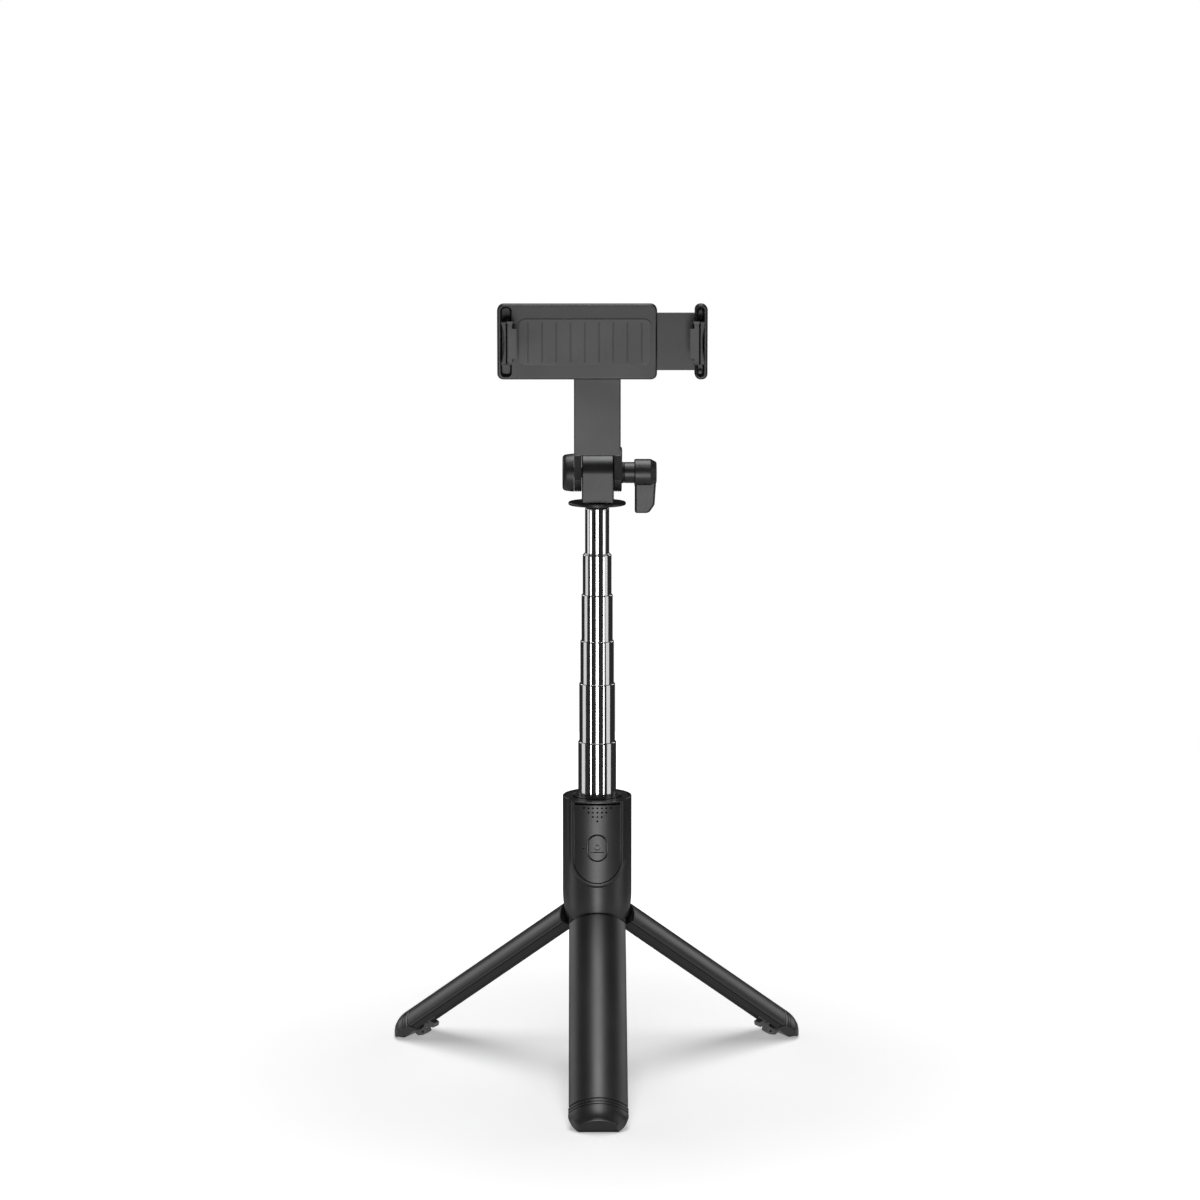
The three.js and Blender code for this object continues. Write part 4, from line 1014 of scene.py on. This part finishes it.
def make_nut_cap():
    low = span("nut_cap")[0]
    inner = span("tilt_yoke")[0].x - CLOSE
    outside = [(4.6, inner), (POST_R, inner), (POST_R - 0.1, inner - 1.2)]
    outside += bezier((7.45, low.x + 2.2), (7.3, low.x + 0.6), (6.9, low.x), (5.6, low.x), 8)
    dimple = [(4.6, low.x), (4.3, low.x + 0.25), (0, low.x + 0.25)]
    profile = [(0, low.x + 1), (4.6, low.x + 1), *outside, *dimple]
    piece("barrel_cap", solid(at_tilt(lathe(profile, **ALONG_BOLT))), "nut_cap")


def make_knob():
    low, high = span("tilt_knob")
    neck = solid(at_tilt(rod(4.25, low.x - 0.24, 16, 0.3, FROM_SIDE)))
    boss = [(0, 15, 0), (5.5, 15, 0.5), (5.5, 21.6, 1.2), (4.2, high.x, 0.8), (0, high.x, 0)]
    boss = solid(at_tilt(lathe(rounded(boss, 0.5), **ALONG_BOLT)))
    reach = low.z - TILT_Z
    wing = [(15.2, 1, 0), (15.2, reach, 0.9), (20.9, reach, 2.4)]
    wing += [(23.2, reach + 3.4, 2), (24, -0.5, 0.5), (22, 1, 0)]
    wing = solid(at_tilt(slab(rounded(wing, 0.5, 8), -2.4, 2.4, FROM_FRONT, 0.9, 6)))
    bore = solid(at_tilt(rod(2.3, low.x - 1, 22, 0, FROM_SIDE)))
    piece("wing_knob", carved(joined(neck, boss, wing), bore), "tilt_knob")


def make_fasteners():
    low, high = span("tilt_bolt")
    piece("through_bolt", solid(at_tilt(rod(2, low.x, high.x, 0.3, FROM_SIDE))), "tilt_bolt")
    low, high = span("knob_washer")
    washer = solid(at_tilt(ring(2.3, 4.3, low.x - 0.24, high.x, 0.12, FROM_SIDE)))
    piece("plain_washer", washer, "knob_washer")
    for side in ("left", "right"):
        low, high = span("friction_washer_" + side)
        pad = solid(at_tilt(ring(2.3, 4.3, low.x, high.x, 0.1, FROM_SIDE)))
        piece("friction_ring_" + side, pad, "friction_washer_" + side)
    swivel_z = middle("swivel_screw").z / MM
    head = solid(shifted(rod(4.4, -16.1, -14.7, 0.35, FROM_FRONT, 96), z=swivel_z))
    shank = solid(shifted(rod(2.2, -20.3, -15.5, 0.2, FROM_FRONT), z=swivel_z))
    slot = solid(prism(rectangle(-2.6, 2.6, swivel_z - 0.5, swivel_z + 0.5), -15.3, -13, FROM_FRONT))
    piece("clamp_screw", carved(joined(head, shank), slot), "swivel_screw")
    low, high = span("swivel_washer")
    washer = solid(shifted(ring(2.5, 7, low.y, high.y, 0.1, FROM_FRONT), z=swivel_z))
    piece("swivel_ring", washer, "swivel_washer")


# ---- phone clamp --------------------------------------------------------------------------------

CLAMP_Z = middle("clamp_rear").z / MM
CLAMP_HALF = 14.79
CLAMP_FRONT = -26.2
SLIDE_FRONT = -23.7
SLIDE_BACK = -21.1
PAD_HALF = 8.15
LEFT_FACE = -33.8
RIGHT_FACE = 38.2


def band(x0, x1, half):
    """A rectangle that reaches as far up as down from the clamp's middle."""
    return rectangle(x0, x1, CLAMP_Z - half, CLAMP_Z + half)


def frame_outline(x0, x1, half=CLAMP_HALF, radius=2.4):
    return rounded(band(x0, x1, half), radius, 8)


def sunk(x0, x1, floor=-23.0, half=13.2):
    """A recess with sloping sides, cut from the front."""
    outline = frame_outline(x0, x1, half, 1.2)
    steps = ((-1.6, -27.5), (-0.75, -26.25), (0, -25.2), (0, floor))
    return loft([[FROM_FRONT(u, v, y) for u, v in inset(outline, d)] for d, y in steps])


def upright(inner, side):
    """The jaw's upright behind its pad: its outer face is hollow, and its front edge rounded."""

    def x(depth):
        return inner + side * (1.8 + depth)

    low, high = CLAMP_Z - PAD_HALF, CLAMP_Z + PAD_HALF
    curve = bezier((x(2.2), low), (x(0.7), CLAMP_Z - 3), (x(0.7), CLAMP_Z + 3), (x(2.2), high), 12)
    outline = [(x(0), low), *curve, (x(0), high)]
    return slab(outline if side > 0 else outline[::-1], -37, -22.5, FROM_FRONT, 0.35, 4)


def make_clamp():
    low, high = span("clamp_rear")
    plate = solid(slab(frame_outline(low.x, high.x), -20.8, high.y, FROM_FRONT, 0.6, 5))
    post = rod(0.8, -23.6, -20, 0.2, FROM_FRONT, 32)
    posts = [solid(shifted(post, -32.4, 0, CLAMP_Z + s * 8.4)) for s in (-1, 1)]
    hole = solid(shifted(rod(2.5, -22, -17, 0, FROM_FRONT), z=CLAMP_Z))
    dent = rod(1.5, high.y - 0.8, high.y + 1, 0, FROM_FRONT, 40)
    corners = [(x, CLAMP_Z + s * 10.9) for x in (low.x + 4.2, high.x - 4.2) for s in (-1, 1)]
    dents = [solid(shifted(dent, x, 0, z)) for x, z in corners]
    piece("clamp_back", carved(joined(plate, *posts), hole, *dents), "clamp_rear")

    low, high = span("clamp_cover")
    cover = solid(slab(frame_outline(low.x, high.x), CLAMP_FRONT, high.y, FROM_FRONT, 0.7, 6))
    channel = solid(prism(band(-33.6, 30, 11.7), -24, -15, FROM_FRONT))
    cover = carved(cover, channel, solid(sunk(low.x + 1.9, -34.4)))
    piece("clamp_front", joined(cover, solid(upright(LEFT_FACE, -1))), "clamp_cover")

    low, high = span("clamp_back_pad")
    pad = solid(slab(frame_outline(low.x, high.x, 9, 2.5), low.y, high.y, FROM_FRONT, 0.2))
    ribs = []
    for k in range(-4, 5):
        x = (low.x + high.x) / 2 + 5.6 * k
        ribs.append(solid(shifted(rod(0.3, -7.6, 7.6, 0, FROM_TOP, 12), x, low.y, CLAMP_Z)))
    piece("back_pad", carved(pad, *ribs), "clamp_back_pad")


def jaw_pad(name, node, inner, side):
    """A soft pad with rounded ends that lines a jaw and hooks over the phone's front edge."""
    low, high = span(node)
    outer = inner + side * 1.5
    hook = inner - side * 2.2
    outline = [
        (outer, high.y),
        (inner, high.y),
        (inner, low.y + 1.7, 0.7),
        (hook, low.y + 1.7, 0.5),
        (hook, low.y, 0.7),
        (outer, low.y, 0.7),
    ]
    outline = rounded(outline if side < 0 else outline[::-1], 0.3)
    body = solid(slab(outline, CLAMP_Z - PAD_HALF, CLAMP_Z + PAD_HALF, FROM_TOP, 0.6, 5))
    below, above = CLAMP_Z - 12, CLAMP_Z - PAD_HALF + 2.4
    cut = [(hook - side * 2, below), (hook + side * 1.2, below), (hook + side * 1.9, above)]
    cut = rounded([*cut, (hook - side * 2, above)], 0.6)
    cut = cut if side > 0 else cut[::-1]
    tools = [solid(prism(cut, -40, low.y + 1.9, FROM_FRONT))]
    mirrored = [(u, 2 * CLAMP_Z - v) for u, v in cut][::-1]
    tools.append(solid(prism(mirrored, -40, low.y + 1.9, FROM_FRONT)))
    piece(name, carved(body, *tools), node)


def make_moving_jaw():
    low, high = span("moving_jaw")
    start = 38.4
    end = solid(slab(frame_outline(start, high.x, radius=2.2), CLAMP_FRONT, high.y, FROM_FRONT, 0.7, 6))
    end = carved(end, solid(sunk(start + 1.3, high.x - 1.9)))
    tongue = solid(prism(band(low.x, 9, 5.4), SLIDE_FRONT, SLIDE_BACK, FROM_FRONT))
    wide = solid(slab(band(8, start + 1, 11.3), SLIDE_FRONT, SLIDE_BACK, FROM_FRONT, 0.25))
    boss = rod(0.85, -25.2, -22.5, 0.15, FROM_FRONT, 32)
    bosses = [solid(shifted(boss, 40.6, 0, CLAMP_Z + z)) for z in (-11.8, 9.4, 12)]
    piece("jaw_slide", joined(end, wide, tongue, solid(upright(RIGHT_FACE, 1)), *bosses), "moving_jaw")


make_hub()
make_hub_cap()
make_remote()
make_button()
make_legs()
make_tubes()
make_disc()
make_post()
make_yoke()
make_nut_cap()
make_knob()
make_fasteners()
make_clamp()
jaw_pad("left_pad", "fixed_jaw_pad", LEFT_FACE, -1)
jaw_pad("right_pad", "moving_jaw_pad", RIGHT_FACE, 1)
make_moving_jaw()

# ---- CAD nodes that stay ------------------------------------------------------------------------

for name, node in frame["nodes"].items():
    if not node.hide_render:
        dress(node, SLOT_OF[name])
